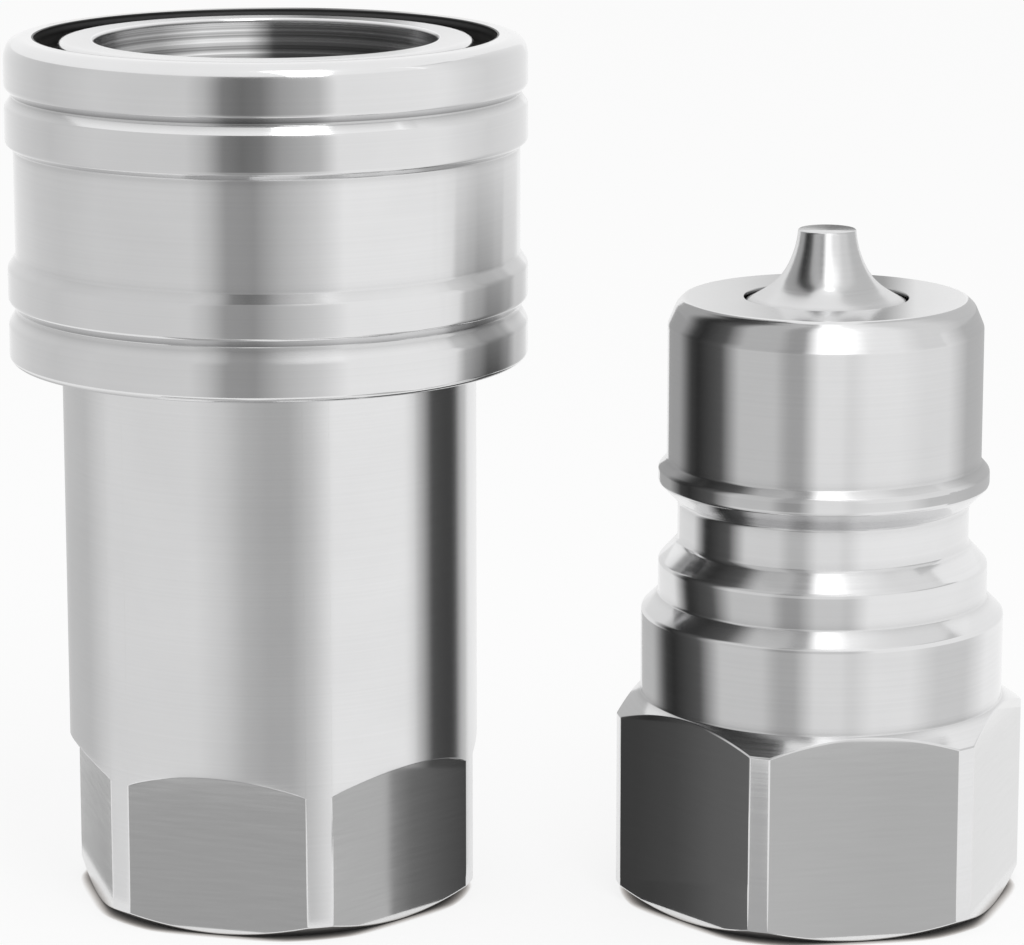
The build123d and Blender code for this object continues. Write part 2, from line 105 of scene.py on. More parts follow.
# %% Add nodes
def add(tree, kind, inputs=None, **settings):
    """A new node. Each input is a value, or an output socket of another node."""
    node = tree.nodes.new(kind)
    for name, value in settings.items():
        setattr(node, name, value)
    for key, value in (inputs or {}).items():
        if isinstance(value, bpy.types.NodeSocket):
            tree.links.new(value, node.inputs[key])
        else:
            node.inputs[key].default_value = value
    return node


def maths(tree, operation, *values):
    """The result of one calculation on numbers or sockets."""
    return add(tree, "ShaderNodeMath", dict(enumerate(values)), operation=operation).outputs[0]


def between(tree, share, dark, light):
    """A colour between two others, by a share."""
    mix = add(tree, "ShaderNodeMix", {0: share, 6: dark, 7: light}, data_type="RGBA")
    return mix.outputs[2]


def bare_tree(owner):
    """The node tree of a material or a world, emptied."""
    owner.use_nodes = True
    owner.node_tree.nodes.clear()
    return owner.node_tree


# %% [markdown]
# ## Surroundings
#
# Polished metal has little colour of its own: what we see in it is the room. The pair stands in a
# white room, so the world is plain white wherever the camera, a reflection or glass looks at it,
# and gives a softer light to everything else. The output of Light Path tells the rays apart.

# %% World
AMBIENT = 0.85

view = bpy.context.scene.view_settings
view.view_transform = "Standard"
world = bpy.data.worlds.new("white_room")
bpy.context.scene.world = world
room = bare_tree(world)
ray = add(room, "ShaderNodeLightPath").outputs
seen = maths(room, "MAXIMUM", ray["Is Camera Ray"], ray["Is Glossy Ray"])
seen = maths(room, "MAXIMUM", seen, ray["Is Transmission Ray"])
strength = maths(room, "MULTIPLY_ADD", seen, 1 - AMBIENT, AMBIENT)
white = add(room, "ShaderNodeBackground", {"Color": (1, 1, 1, 1), "Strength": strength})
add(room, "ShaderNodeOutputWorld", {"Surface": white.outputs[0]})
print("ambient light", AMBIENT)

# %% [markdown]
# The floor is white too. For the camera most of its brightness is its own, and a smaller part is lit,
# which is what carries the soft shadow under the two halves. Where the two feet touch it hardly any
# light gets in. The Ambient Occlusion node measures that, and darkens the floor's own brightness there
# as well: a painted shade, tinted warm, for the camera and for what the foot chamfers mirror.

# %% Floor
FLOOR_RADIUS = 2.5
FLOOR_CORNERS = 64
FLOOR_WHITE = (0.93, 0.93, 0.93, 1)
FLOOR_SELF = 0.8
FLOOR_MIRRORED = 0.7
CONTACT_REACH = 0.0010
CONTACT_POWER = 2.2
SHADE_WARM_WHITE = (1, 0.90, 0.82, 1)
PURE_WHITE = (1, 1, 1, 1)

floor_paint = bpy.data.materials.new("white_floor")
tree = bare_tree(floor_paint)
ray = add(tree, "ShaderNodeLightPath").outputs
lit = add(tree, "ShaderNodeBsdfDiffuse", {"Color": FLOOR_WHITE})
# Painted shade: the floor's own glow is darkened, and tinted warm, where the feet come close.
contact = add(tree, "ShaderNodeAmbientOcclusion", {"Distance": CONTACT_REACH}, samples=12)
contact = maths(tree, "POWER", contact.outputs["AO"], CONTACT_POWER)
shade_tint = between(tree, contact, SHADE_WARM_WHITE, PURE_WHITE)
plain = add(tree, "ShaderNodeEmission", {"Color": shade_tint, "Strength": contact})
share = maths(tree, "MULTIPLY", ray["Is Camera Ray"], FLOOR_SELF)
share = maths(tree, "MULTIPLY_ADD", ray["Is Glossy Ray"], FLOOR_MIRRORED, share)
mix = add(tree, "ShaderNodeMixShader", {0: share, 1: lit.outputs[0], 2: plain.outputs[0]})
add(tree, "ShaderNodeOutputMaterial", {"Surface": mix.outputs[0]})

floor_mesh = bpy.data.meshes.new("floor")
rim_turns = [math.tau * i / FLOOR_CORNERS for i in range(FLOOR_CORNERS)]
rim = [(FLOOR_RADIUS * math.cos(turn), FLOOR_RADIUS * math.sin(turn), 0) for turn in rim_turns]
floor_mesh.from_pydata(rim, [], [list(range(FLOOR_CORNERS))])
floor_mesh.materials.append(floor_paint)
floor = linked("floor", floor_mesh)
floor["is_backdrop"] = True
print("floor radius", FLOOR_RADIUS)

# %% [markdown]
# ## Lamp
#
# One long soft box hangs above and in front. It draws the white streaks on every edge that faces
# upward, and the faint shadow on the floor.

# %% Soft box
BOX_DISTANCE = 0.52
BOX_ELEVATION = 58
BOX_SIDE = 10.5
BOX_SIZE = (0.145, 0.43)
BOX_POWER = 0.56
PAIR_MIDDLE = (28, 0, 45)

box_data = bpy.data.lights.new("soft_box", "AREA")
box_data.shape = "RECTANGLE"
box_data.size, box_data.size_y = BOX_SIZE
box_data.energy = BOX_POWER
soft_box = linked("soft_box", box_data)
up, side = math.radians(BOX_ELEVATION), math.radians(BOX_SIDE)
toward = Vector((math.sin(side), -math.cos(up), math.sin(up))).normalized()
soft_box.location = Vector(PAIR_MIDDLE) * MM + toward * BOX_DISTANCE
soft_box.rotation_euler = toward.to_track_quat("Z", "Y").to_euler()
print("soft box", [round(c, 3) for c in soft_box.location])

# %% [markdown]
# ## Reflection cards
#
# A photographer shapes the bands in round metal with grey and black cards stood close to it. Here a
# card is a strip of quads that glows with its own grey and that only reflections see, and only from
# its front. It is no lamp and nothing lights it, so the bands it makes are painted reflections. Its
# greys are stored on its points, so that it can fade along its length as a lit card does.

# %% Card paint
reflection_card_glow = bpy.data.materials.new("reflection_card_glow")
reflection_card_glow.cycles.emission_sampling = "NONE"
tree = bare_tree(reflection_card_glow)
grey = add(tree, "ShaderNodeAttribute", attribute_name="grey").outputs["Fac"]
# Painted reflection: the card's glow is its stored grey, whatever the lamps do.
glow = add(tree, "ShaderNodeEmission", {"Color": (1, 1, 1, 1), "Strength": grey})
clear = add(tree, "ShaderNodeBsdfTransparent")
back = add(tree, "ShaderNodeNewGeometry").outputs["Backfacing"]
mix = add(tree, "ShaderNodeMixShader", {0: back, 1: glow.outputs[0], 2: clear.outputs[0]})
add(tree, "ShaderNodeOutputMaterial", {"Surface": mix.outputs[0]})
print("card paint nodes", len(tree.nodes))

# %% [markdown]
# A card is one mesh. Its points lie along two edges, and each pair of neighbours makes a quad.
# It is hidden to the camera, to diffuse light and to shadows, so only a mirror image shows it.

# %% Make a card
def card(name, near_edge, far_edge, near_greys, far_greys):
    """A strip of quads between two edges in millimetres, with a grey for every point."""
    count = len(near_edge)
    mesh = bpy.data.meshes.new(name)
    points = [Vector(p) * MM for p in [*near_edge, *far_edge]]
    quads = [(i, i + count, i + count + 1, i + 1) for i in range(count - 1)]
    mesh.from_pydata(points, [], quads)
    greys = mesh.attributes.new("grey", "FLOAT", "POINT")
    greys.data.foreach_set("value", [*near_greys, *far_greys])
    mesh.materials.append(reflection_card_glow)
    made = linked(name, mesh)
    for way in ("camera", "diffuse", "shadow", "transmission"):
        setattr(made, "visible_" + way, False)
    made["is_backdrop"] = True
    return made


def standing_card(name, stops, foot, top):
    """A card on edge along stops of (x, y, grey) or (x, y, foot grey, top grey).

    It faces to the left of that way.
    """
    near_edge = [(stop[0], stop[1], foot) for stop in stops]
    far_edge = [(stop[0], stop[1], top) for stop in stops]
    return card(name, near_edge, far_edge, [s[2] for s in stops], [s[-1] for s in stops])


# %% [markdown]
# Most cards are wrapped round a wall at a small distance. The sight line from the camera is
# mirrored in the wall, and the card is laid where it goes. So a band can be given as the turn on
# the wall at which it is to be seen, and the card covers just the heights that it is meant for.

# %% Mirrored sight lines
PUPIL = Vector(CAMERA_PLACE[:2])
SOCKET_AXIS = (0, 0, 0)
TURN_STEP = 2
CARD_FOOT = 0.2


def mirrored(sight, ahead):
    """The way on of a sight line, seen from above, from a wall that faces ahead."""
    return (sight - 2 * sight.dot(ahead) * ahead).normalized()


def landing(centre, turn, wall_r, height, card_r):
    """Where the sight line that a round wall mirrors at a turn from the front meets a card."""
    ahead = Vector((math.sin(math.radians(turn)), -math.cos(math.radians(turn))))
    foot = Vector(centre[:2]) / MM + ahead * wall_r
    sight = foot - PUPIL
    slope = (CAMERA_PLACE[2] - height) / sight.length
    away = mirrored(sight, ahead)
    along = wall_r * ahead.dot(away)
    reach = math.sqrt(along**2 - wall_r**2 + card_r**2) - along
    place = foot + away * reach
    return (place.x, place.y, max(height - slope * reach, CARD_FOOT))


def faded(bands, turn):
    """The grey at a turn, between the two nearest bands."""
    for (start, first), (end, last) in zip(bands, bands[1:]):
        if turn <= end:
            break
    return first + (last - first) * (turn - start) / (end - start)


def wall_edge(wall_r, height):
    """An edge of a wrapped card that is level all the way round."""
    return lambda turn: (wall_r, height)


def wrapped_card(name, centre, card_r, bands, low, high, span=None):
    """A card round a wall. Bands are (turn, grey); low and high give (wall radius, height).

    A span of two turns leaves out the rest of the bands.
    """
    first, last = span or (bands[0][0], bands[-1][0])
    turns = [first + TURN_STEP * i for i in range((last - first) // TURN_STEP + 1)]
    near_edge = [landing(centre, turn, *low(turn), card_r) for turn in turns]
    far_edge = [landing(centre, turn, *high(turn), card_r) for turn in turns]
    greys = [faded(bands, turn) for turn in turns]
    return card(name, near_edge, far_edge, greys, greys)


# %% [markdown]
# The socket gets a light grey card on its left, which fades into a darker one in front, and a
# black one between the two halves. The sleeve is wider than the body under it, so it has cards
# of its own above them. The body's card ends below where the flats begin.

# %% Cards for the socket
SOCKET_TURN = 15.2
HEX_R = 18.5
BODY_R = 20.65
SLEEVE_R = 25.82
FOOT_EDGE = 1.6
FLAT_TOP = 14.6
ARCH_RISE = 0.885
SOCKET_CARD_R = 34


def flat_head(turn):
    """The foot of the turned wall: above the flats' arches, or down to the chamfer between them."""
    beside = (turn - 90 - SOCKET_TURN + 30) % 60 - 30
    over = BODY_R * math.cos(math.radians(beside)) - HEX_R
    return (BODY_R, FLAT_TOP + ARCH_RISE * over if over > 0 else FOOT_EDGE)


body_bands = [(-84, 0.75), (-76, 0.60), (-58, 0.59), (-46, 0.80), (-18, 0.81), (-10, 0.69)]
body_bands += [(-4, 0.53), (2, 0.465), (8, 0.47), (14, 0.66), (20, 0.95), (42, 0.96), (46, 0.77)]
wrapped_card("body_card", SOCKET_AXIS, 26, body_bands, flat_head, wall_edge(BODY_R, 56))

waist_bands = [(-84, 0.99), (-74, 0.83), (-60, 0.70), (-50, 0.665), (-38, 0.72), (-14, 0.73)]
waist_bands += [(-10, 0.60), (-6, 0.36), (0, 0.33), (6, 0.54), (14, 0.73), (20, 0.96)]
waist_bands += [(42, 0.95), (46, 0.88)]
waist_foot, waist_head = wall_edge(SLEEVE_R, 54), wall_edge(SLEEVE_R, 76.4)
wrapped_card("waist_card", SOCKET_AXIS, SOCKET_CARD_R, waist_bands, waist_foot, waist_head)

mouth_bands = [(-84, 1.0), (-74, 0.88), (-60, 0.72), (-50, 0.645), (-36, 0.725), (-14, 0.71)]
mouth_bands += [(-10, 0.56), (-6, 0.24), (-2, 0.18), (2, 0.22), (6, 0.39), (14, 0.56)]
mouth_bands += [(18, 0.90), (42, 0.95), (46, 0.91)]
mouth_head = wall_edge(SLEEVE_R, 92)
wrapped_card("mouth_card", SOCKET_AXIS, SOCKET_CARD_R, mouth_bands, waist_head, mouth_head)

# %% [markdown]
# The right side of the socket mirrors the gap between the halves. Straight cards on edge paint that
# reflection there: a dark one beside the body, one beside the sleeve that is dark at its foot and pale
# at its top, and a pale one above it. Their dark greys are the shade of the gap, painted into the
# mirror image.

# %% Cards between the halves, on the socket's side
body_dark = [(-17.6, 0.94), (-14.5, 0.70), (-12.4, 0.45), (-10.2, 0.08), (-4.6, 0.055)]
body_dark += [(-3.2, 0.10), (-1.2, 0.50), (3.0, 0.76)]
sleeve_dark = [(-20, 0.96, 0.97), (-17.5, 0.88, 0.92), (-15.2, 0.38, 0.86), (-12.9, 0.22, 0.80)]
sleeve_dark += [(-10.7, 0.05, 0.74), (-8.6, 0.07, 0.77), (-6.5, 0.20, 0.82), (-3.5, 0.60, 0.86)]
sleeve_dark += [(6, 0.86, 0.92)]
sleeve_pale = [(-20, 0.96), (-15.2, 0.85), (-10.7, 0.79), (-6.5, 0.83), (6, 0.92)]


def level_card(name, x, stops, foot, top):
    """A standing card at one x, along stops of (y, grey) or (y, foot grey, top grey)."""
    return standing_card(name, [(x, *stop) for stop in stops], foot, top)


level_card("body_dark_card", 26, body_dark, 0.3, 53)
level_card("sleeve_dark_card", 28, sleeve_dark, 53, 76)
level_card("sleeve_pale_card", 28, sleeve_pale, 76, 96)

# %% [markdown]
# The plug has a black card on its left, a painted reflection of the dark gap between the halves, a
# light grey one that turns round to the front with one darker stop, and a paler one on the right. The
# greys differ a little from step to step. Above the nose the front of the card glows brighter than
# white, which paints the highlight on the nose's chamfer and on the bevels that look up to it.

# %% Cards for the plug
PLUG_CENTRE = (55.43 * MM, -1.80 * MM, 0)
PLUG_CARD_R = 25


def plug_bands(dark_from, left, grey, stop, front, pale, side, right):
    """The bands of one step of the plug, from its left edge to its right edge."""
    dark = [(dark_from, 0.06), (-56, 0.03), (-44, 0.10)]
    middle = [(-36, grey), (-22, grey), (-17, stop), (-12, stop), (-6, front), (2, front)]
    light = [(5, front * 0.9), (12, pale), (24, pale), (34, side), (46, side)]
    return [(-84, left), (dark_from - 8, left), *dark, *middle, *light, (58, right), (84, right)]


plug_steps = [
    ("collar", (18.2, 20.5), (-61, 0.55, 0.66, 0.46, 0.83, 0.91, 0.72, 1.0)),
    ("step", (17.3, 30.2), (-58, 0.90, 0.62, 0.37, 0.69, 0.98, 0.97, 0.96)),
    ("neck", (15.5, 35.5), (-58, 0.82, 0.75, 0.56, 0.87, 0.99, 0.98, 0.96)),
    ("ridge", (15.5, 41.5), (-62, 0.42, 0.60, 0.35, 0.90, 0.87, 0.62, 0.56)),
    ("nose", (16.1, 44.35), (-61, 0.38, 0.62, 0.42, 0.89, 0.92, 0.85, 0.53)),
    # Painted highlight: a front of 1.5 glows brighter than white.
    ("bevel", (15.7, 58.9), (-61, 0.42, 0.52, 0.36, 1.5, 0.96, 0.78, 0.62)),
    ("sky", (15.7, 150), None),
]
for (name, low, greys), (_, high, _) in zip(plug_steps, plug_steps[1:]):
    edges = wall_edge(*low), wall_edge(*high)
    span = (-62, 50) if name in ("ridge", "nose") else None
    wrapped_card(f"plug_{name}_card", PLUG_CENTRE, PLUG_CARD_R, plug_bands(*greys), *edges, span)

# %% [markdown]
# The bevels under the nose look up past it at their two ends, and there they are light. So the
# grey sides of the nose and the ridge get cards that stand closer, inside those sight lines.

# %% Close cards beside the nose
NOSE_CARD_R = 18
close_edges = {"ridge": (16.55, 41.4, 44.3), "nose": (15.7, 44.3, 61.5)}
for name, _, greys in plug_steps[3:5]:
    wall_r, low, high = close_edges[name]
    edges = wall_edge(wall_r, low), wall_edge(wall_r, high)
    for side, span in (("left", (-84, -56)), ("right", (44, 84))):
        wrapped_card(
            f"{name}_{side}_card", PLUG_CENTRE, NOSE_CARD_R, plug_bands(*greys), *edges, span
        )
# Two dark cards on edge paint the reflection of the dark gap between the halves into the plug's left
# flat and the socket's right flat.
plug_dark = [(-3, 0.052), (-7, 0.056), (-11, 0.075), (-15, 0.12), (-22, 0.155)]
right_dark = [(-21.1, 0.53), (-14.7, 0.52), (-14.0, 0.28), (-12.1, 0.17), (-9.3, 0.115), (-5.4, 0.06)]
level_card("plug_flat_card", 29, plug_dark, CARD_FOOT, 20)
level_card("socket_right_flat_card", 24.5, right_dark, CARD_FOOT, 12.5)

# %% [markdown]
# A milled flat is a plane mirror that stands on the floor, so what it shows is the floor before it.
# The sight line from the camera is mirrored in the flat, and a card is laid along it; its grey is a
# painted reflection, darker than the white floor. It starts a little way out, which leaves the dark
# contact line at the foot to be mirrored too, and spreads as it goes, because a blurred mirror looks
# at a wider strip the further it looks.

# %% Cards for the flats
CONTACT_GAP = 1.3


def floor_card(name, centre, facing, half_width, stops, reach, spread):
    """A card before the flat that faces the given way, in degrees. Stops are (share, grey).

    The share runs from 0 at the flat's left end to 1 at its right end, and so does the reach.
    """
    ahead = Vector((math.cos(math.radians(facing)), math.sin(math.radians(facing))))
    across = Vector((-ahead.y, ahead.x))
    near_edge, far_edge = [], []
    for share, _ in stops:
        sideways = (2 * share - 1) * half_width
        foot = Vector(centre[:2]) / MM + ahead * HEX_R + across * sideways
        away = mirrored(foot - PUPIL, ahead)
        near = foot + away * (CONTACT_GAP / away.dot(ahead))
        length = reach[0] + (reach[1] - reach[0]) * share
        far = foot + away * length + across * (2 * share - 1) * spread
        near_edge.append((near.x, near.y, CARD_FOOT))
        far_edge.append((far.x, far.y, CARD_FOOT))
    greys = [grey for _, grey in stops]
    return card(name, near_edge, far_edge, greys, greys)


PLUG_TURN = 39.8
SOCKET_HALF = 9.2
PLUG_HALF = 9.5
LEFT, STRIP, FRONT, RIGHT = -180, -150, -120, -60

socket_cards = [
    ("left_flat_card", LEFT, [(-0.1, 0.52), (1.1, 0.36)], (60, 60), 6),
    ("middle_flat_card", FRONT, [(-0.1, 0.42), (1.1, 0.41)], (62, 62), 10),
]
for name, facing, stops, reach, spread in socket_cards:
    floor_card(name, SOCKET_AXIS, SOCKET_TURN + facing, SOCKET_HALF, stops, reach, spread)
right_stops = [(-0.07, 0.53), (0.40, 0.52), (0.45, 0.28), (0.59, 0.17), (0.80, 0.115), (1.08, 0.06)]
right_facing = SOCKET_TURN + RIGHT
floor_card("right_flat_card", SOCKET_AXIS, right_facing, SOCKET_HALF, right_stops, (18.6, 5.6), 0)

left_stops = [(-0.1, 0.052), (0.25, 0.056), (0.5, 0.075), (0.75, 0.12), (1.1, 0.155)]
plug_cards = [
    ("plug_left_flat_card", LEFT, PLUG_HALF, left_stops, (7.5, 19.5), 0),
    ("plug_strip_card", STRIP, 3.0, [(0, 0.47), (1, 0.47)], (70, 70), 5),
    ("plug_front_flat_card", FRONT, PLUG_HALF, [(-0.1, 0.56), (0.6, 0.52), (1.1, 0.53)], (78, 78), 10),
    ("plug_right_flat_card", RIGHT, PLUG_HALF, [(-0.1, 0.88), (1.1, 0.9)], (70, 70), 8),
]
for name, facing, half_width, stops, reach, spread in plug_cards:
    floor_card(name, PLUG_CENTRE, PLUG_TURN + facing, half_width, stops, reach, spread)

# %% [markdown]
# The bore of the socket is dark on its right, where little light gets in. A black card slipped into
# the mouth, close along that side, paints that shade, because only the bore can see it.

# %% Card in the mouth
BORE_CARD_R = 14.6
bore_shade_stops = [(176, 0.22), (150, 0.30), (125, 0.42), (112, 0.85), (99, 0.80), (95, 0.45)]
bore_shade_stops += [(91, 0.09), (60, 0.06), (0, 0.05), (-25, 0.1)]


def round_card(name, centre, radius, stops, foot, top):
    """A standing card along stops of (angle, grey) on a circle. It faces in if angles rise."""
    path = []
    for angle, grey in stops:
        around = math.radians(angle)
        x = centre[0] / MM + radius * math.cos(around)
        y = centre[1] / MM + radius * math.sin(around)
        path.append((x, y, grey))
    return standing_card(name, path, foot, top)


round_card("bore_shade_card", SOCKET_AXIS, BORE_CARD_R, bore_shade_stops, 74, 86.2)

# %% [markdown]
# The camera in front never sees what stands straight behind the pair, but somebody who walks
# round it does. Two more cards there give the backs some bands of their own.

# %% Cards behind
behind = [(50, 0.95), (64, 0.88), (72, 0.40), (84, 0.24), (93, 0.62), (108, 0.80), (135, 0.95)]
round_card("socket_back_card", SOCKET_AXIS, SOCKET_CARD_R, behind, 0.3, 92)
round_card("plug_back_card", PLUG_CENTRE, PLUG_CARD_R, behind, 0.3, 78)

# %% [markdown]
# ## Outlines with softened corners
#
# Turned pieces are described by their outline: radius and height of each corner. No real corner
# is perfectly sharp, and the thin light line on a softened one is what makes metal look solid. So
# each corner is cut back by its own ease and bridged with a small curve, with one more point on
# either side that keeps the flat beside it flat.

# %% Soften an outline
FINE_STEPS = 3
WIDE_STEPS = 7
WIDE_EASE = 0.5
SIDE_SHARE = 0.4
SUPPORT_REACH = 1.25


def eased(corners):
    """Points of a closed outline from its corners, each (radius, height, ease) in millimetres."""
    points = []
    for i, (radius, height, ease) in enumerate(corners):
        here = Vector((radius, height))
        if ease == 0:
            points.append(here * MM)
            continue
        back = Vector(corners[i - 1][:2]) - here
        ahead = Vector(corners[(i + 1) % len(corners)][:2]) - here
        cut = min(ease, SIDE_SHARE * back.length, SIDE_SHARE * ahead.length)
        back, ahead = back.normalized() * cut, ahead.normalized() * cut
        steps = WIDE_STEPS if ease > WIDE_EASE else FINE_STEPS
        points.append((here + back * SUPPORT_REACH) * MM)
        for step in range(steps + 1):
            t = step / steps
            points.append((here + back * (1 - t) ** 2 + ahead * t**2) * MM)
        points.append((here + ahead * SUPPORT_REACH) * MM)
    return points


# %% [markdown]
# ## Trees that make shapes
#
# What repeats, or follows a path or a rule, is made by a tree of Geometry Nodes. Each tree has
# named inputs, and they end alike: smooth faces, real geometry instead of instances, a material.

# %% Named inputs, and the end of a tree
MERGE_DISTANCE = 0.000002


def new_tree(name, inputs):
    """A Geometry Nodes tree with one geometry output, and inputs given as {name: kind}."""
    tree = bpy.data.node_groups.new(name, "GeometryNodeTree")
    for label, kind in inputs.items():
        tree.interface.new_socket(label, in_out="INPUT", socket_type="NodeSocket" + kind)
    tree.interface.new_socket("Geometry", in_out="OUTPUT", socket_type="NodeSocketGeometry")
    return tree, tree.nodes.new("NodeGroupInput").outputs


def position(tree):
    return add(tree, "GeometryNodeInputPosition").outputs[0]


def moved(tree, geometry, place):
    """The geometry, moved by a vector."""
    inputs = {"Geometry": geometry, "Translation": place}
    return add(tree, "GeometryNodeTransform", inputs).outputs[0]


def end_tree(tree, geometry, material):
    """Real geometry with a material, as the output."""
    real = add(tree, "GeometryNodeRealizeInstances", {"Geometry": geometry}).outputs[0]
    paint = add(tree, "GeometryNodeSetMaterial", {"Geometry": real, "Material": material})
    add(tree, "NodeGroupOutput", {0: paint.outputs[0]})


def close_tree(tree, geometry, material):
    """The end of most trees: smooth faces, real geometry and a material."""
    smooth = add(tree, "GeometryNodeSetShadeSmooth", {"Geometry": geometry})
    end_tree(tree, smooth.outputs[0], material)


def round_place(tree, radius, turn, height):
    """A place given by its radius, its turn about the axis and its height."""
    x = maths(tree, "MULTIPLY", radius, maths(tree, "COSINE", turn))
    y = maths(tree, "MULTIPLY", radius, maths(tree, "SINE", turn))
    return add(tree, "ShaderNodeCombineXYZ", {0: x, 1: y, 2: height}).outputs[0]


# %% [markdown]
# ## A lathe in Geometry Nodes
#
# Screw and Spin would both turn an outline into a solid. A small node tree does the same and
# stays readable: it takes a grid, lets each row read its radius and height from the outline, and
# bends the columns round the axis. The last row meets the first, and the last column the first,
# so merging by distance closes the skin.

# %% Build the lathe
def lathe_tree():
    inputs = {"Outline": "Geometry", "Columns": "Int", "Centre": "Vector", "Material": "Material"}
    tree, given = new_tree("lathe", inputs)
    size = add(tree, "GeometryNodeAttributeDomainSize", {"Geometry": given["Outline"]})
    rows = size.outputs["Point Count"]
    across, along = maths(tree, "ADD", rows, 1), maths(tree, "ADD", given["Columns"], 1)
    sheet = {"Size X": 1.0, "Size Y": 1.0, "Vertices X": across, "Vertices Y": along}
    grid = add(tree, "GeometryNodeMeshGrid", sheet)
    flat = add(tree, "ShaderNodeSeparateXYZ", {0: position(tree)})
    row = maths(tree, "MULTIPLY", maths(tree, "ADD", flat.outputs["X"], 0.5), rows)
    row = maths(tree, "MODULO", maths(tree, "ROUND", row), rows)
    turn = maths(tree, "MULTIPLY", maths(tree, "ADD", flat.outputs["Y"], 0.5), math.tau)
    reading = {"Geometry": given["Outline"], "Value": position(tree), "Index": row}
    corner = add(
        tree, "GeometryNodeSampleIndex", reading, data_type="FLOAT_VECTOR", domain="POINT"
    )
    outline = add(tree, "ShaderNodeSeparateXYZ", {0: corner.outputs[0]}).outputs
    place = round_place(tree, outline["X"], turn, outline["Z"])
    bending = {"Geometry": grid.outputs["Mesh"], "Position": place, "Offset": given["Centre"]}
    bent = add(tree, "GeometryNodeSetPosition", bending).outputs[0]
    merging = {"Geometry": bent, "Distance": MERGE_DISTANCE}
    closed = add(tree, "GeometryNodeMergeByDistance", merging)
    close_tree(tree, closed.outputs[0], given["Material"])
    return tree


lathe = lathe_tree()
print("lathe nodes", len(lathe.nodes))

# %% [markdown]
# A tree could stay on its object as a modifier. Here the mesh that comes out is kept and the tree
# is taken off again, so each piece is plain geometry that can be measured and written out.

# %% Run a tree and keep its result
def run_tree(made, tree, values):
    """Puts a tree on an object, keeps the mesh that comes out, and takes the tree off again."""
    modifier = made.modifiers.new(tree.name, "NODES")
    modifier.node_group = tree
    for item in tree.interface.items_tree:
        if item.name in values:
            modifier[item.identifier] = values[item.name]
    result = made.evaluated_get(bpy.context.evaluated_depsgraph_get())
    result = bpy.data.meshes.new_from_object(result)
    made.modifiers.clear()
    made.data = result
    result.name = made.name
    print(made.name, len(result.polygons), "faces")
    return made


def shaped(name, points, tree, values):
    """A new mesh object that a tree makes from points."""
    mesh = bpy.data.meshes.new(name)
    mesh.from_pydata([tuple(p) for p in points], [], [])
    return run_tree(linked(name, mesh), tree, values)


COLUMNS = 256


def turned(name, corners, material, centre=(0, 0, 0), columns=COLUMNS):
    """A turned piece from the corners of its outline, given against the clock."""
    points = [(p.x, 0, p.y) for p in eased(corners)]
    values = {"Columns": columns, "Centre": centre, "Material": material}
    return shaped(name, points, lathe, values)


# %% [markdown]
# ## Materials
#
# Each finish starts from one shader, reads where a point lies on the object, and gets its
# unevenness from noise there. The helpers do that much, so that a material below only has to
# say what makes it different.

# %% Shader helpers
def new_paint(name, metallic=1.0):
    """A new material, its tree, its shader and the place of each point on the object."""
    paint = bpy.data.materials.new(name)
    paint.use_nodes = True
    tree = paint.node_tree
    shader = tree.nodes["Principled BSDF"]
    shader.inputs["Metallic"].default_value = metallic
    return paint, tree, shader, add(tree, "ShaderNodeTexCoord").outputs["Object"]


def noise(tree, place, scale, detail, roughness=0.5, dimensions="3D"):
    """Noise that runs from 0 to 1 over a place."""
    inputs = {"Vector": place, "Scale": scale, "Detail": detail, "Roughness": roughness}
    return add(tree, "ShaderNodeTexNoise", inputs, noise_dimensions=dimensions).outputs[0]


def same_grey(tree, tone, cool=1.0):
    """A grey colour from one tone, with a little more blue where it is to look cool."""
    blue = tone if cool == 1.0 else maths(tree, "MULTIPLY", tone, cool)
    return add(tree, "ShaderNodeCombineColor", {0: tone, 1: tone, 2: blue}).outputs[0]


def dress(tree, shader, colour, dull, height, depth, strength=1.0):
    """Gives a shader its colour, its dullness and the relief of its surface."""
    relief = {"Height": height, "Strength": strength, "Distance": depth}
    bump = add(tree, "ShaderNodeBump", relief).outputs[0]
    for name, output in (("Base Color", colour), ("Roughness", dull), ("Normal", bump)):
        tree.links.new(output, shader.inputs[name])


# %% [markdown]
# ## Turned steel
#
# The bar was turned in a lathe, so the tool left fine rings round the axis, on walls and on faces.
# Noise that reads only the radius and the height of a point gives just such rings: it is the same all
# the way round. They tilt the light a little, and make some rings duller. Narrow grooves and corners
# get painted shade: the Ambient Occlusion node finds them, and the colour is darkened there.

# %% Turned steel
NOOK_SHADE_REACH = 0.0011
NOOK_SHADE_POWER = 1.4
NOOK_SHADE_DARKEST = 0.2
CLOUD_SCALE = 60.0
CLOUD_CONTRAST = 0.14
CLOUD_FLOOR = 0.90
RING_CONTRAST = 0.06
RING_DULLNESS = 0.08
BORE_CONTRAST = 3.2
BORE_DARKEST = 0.12
COOL = 1.005


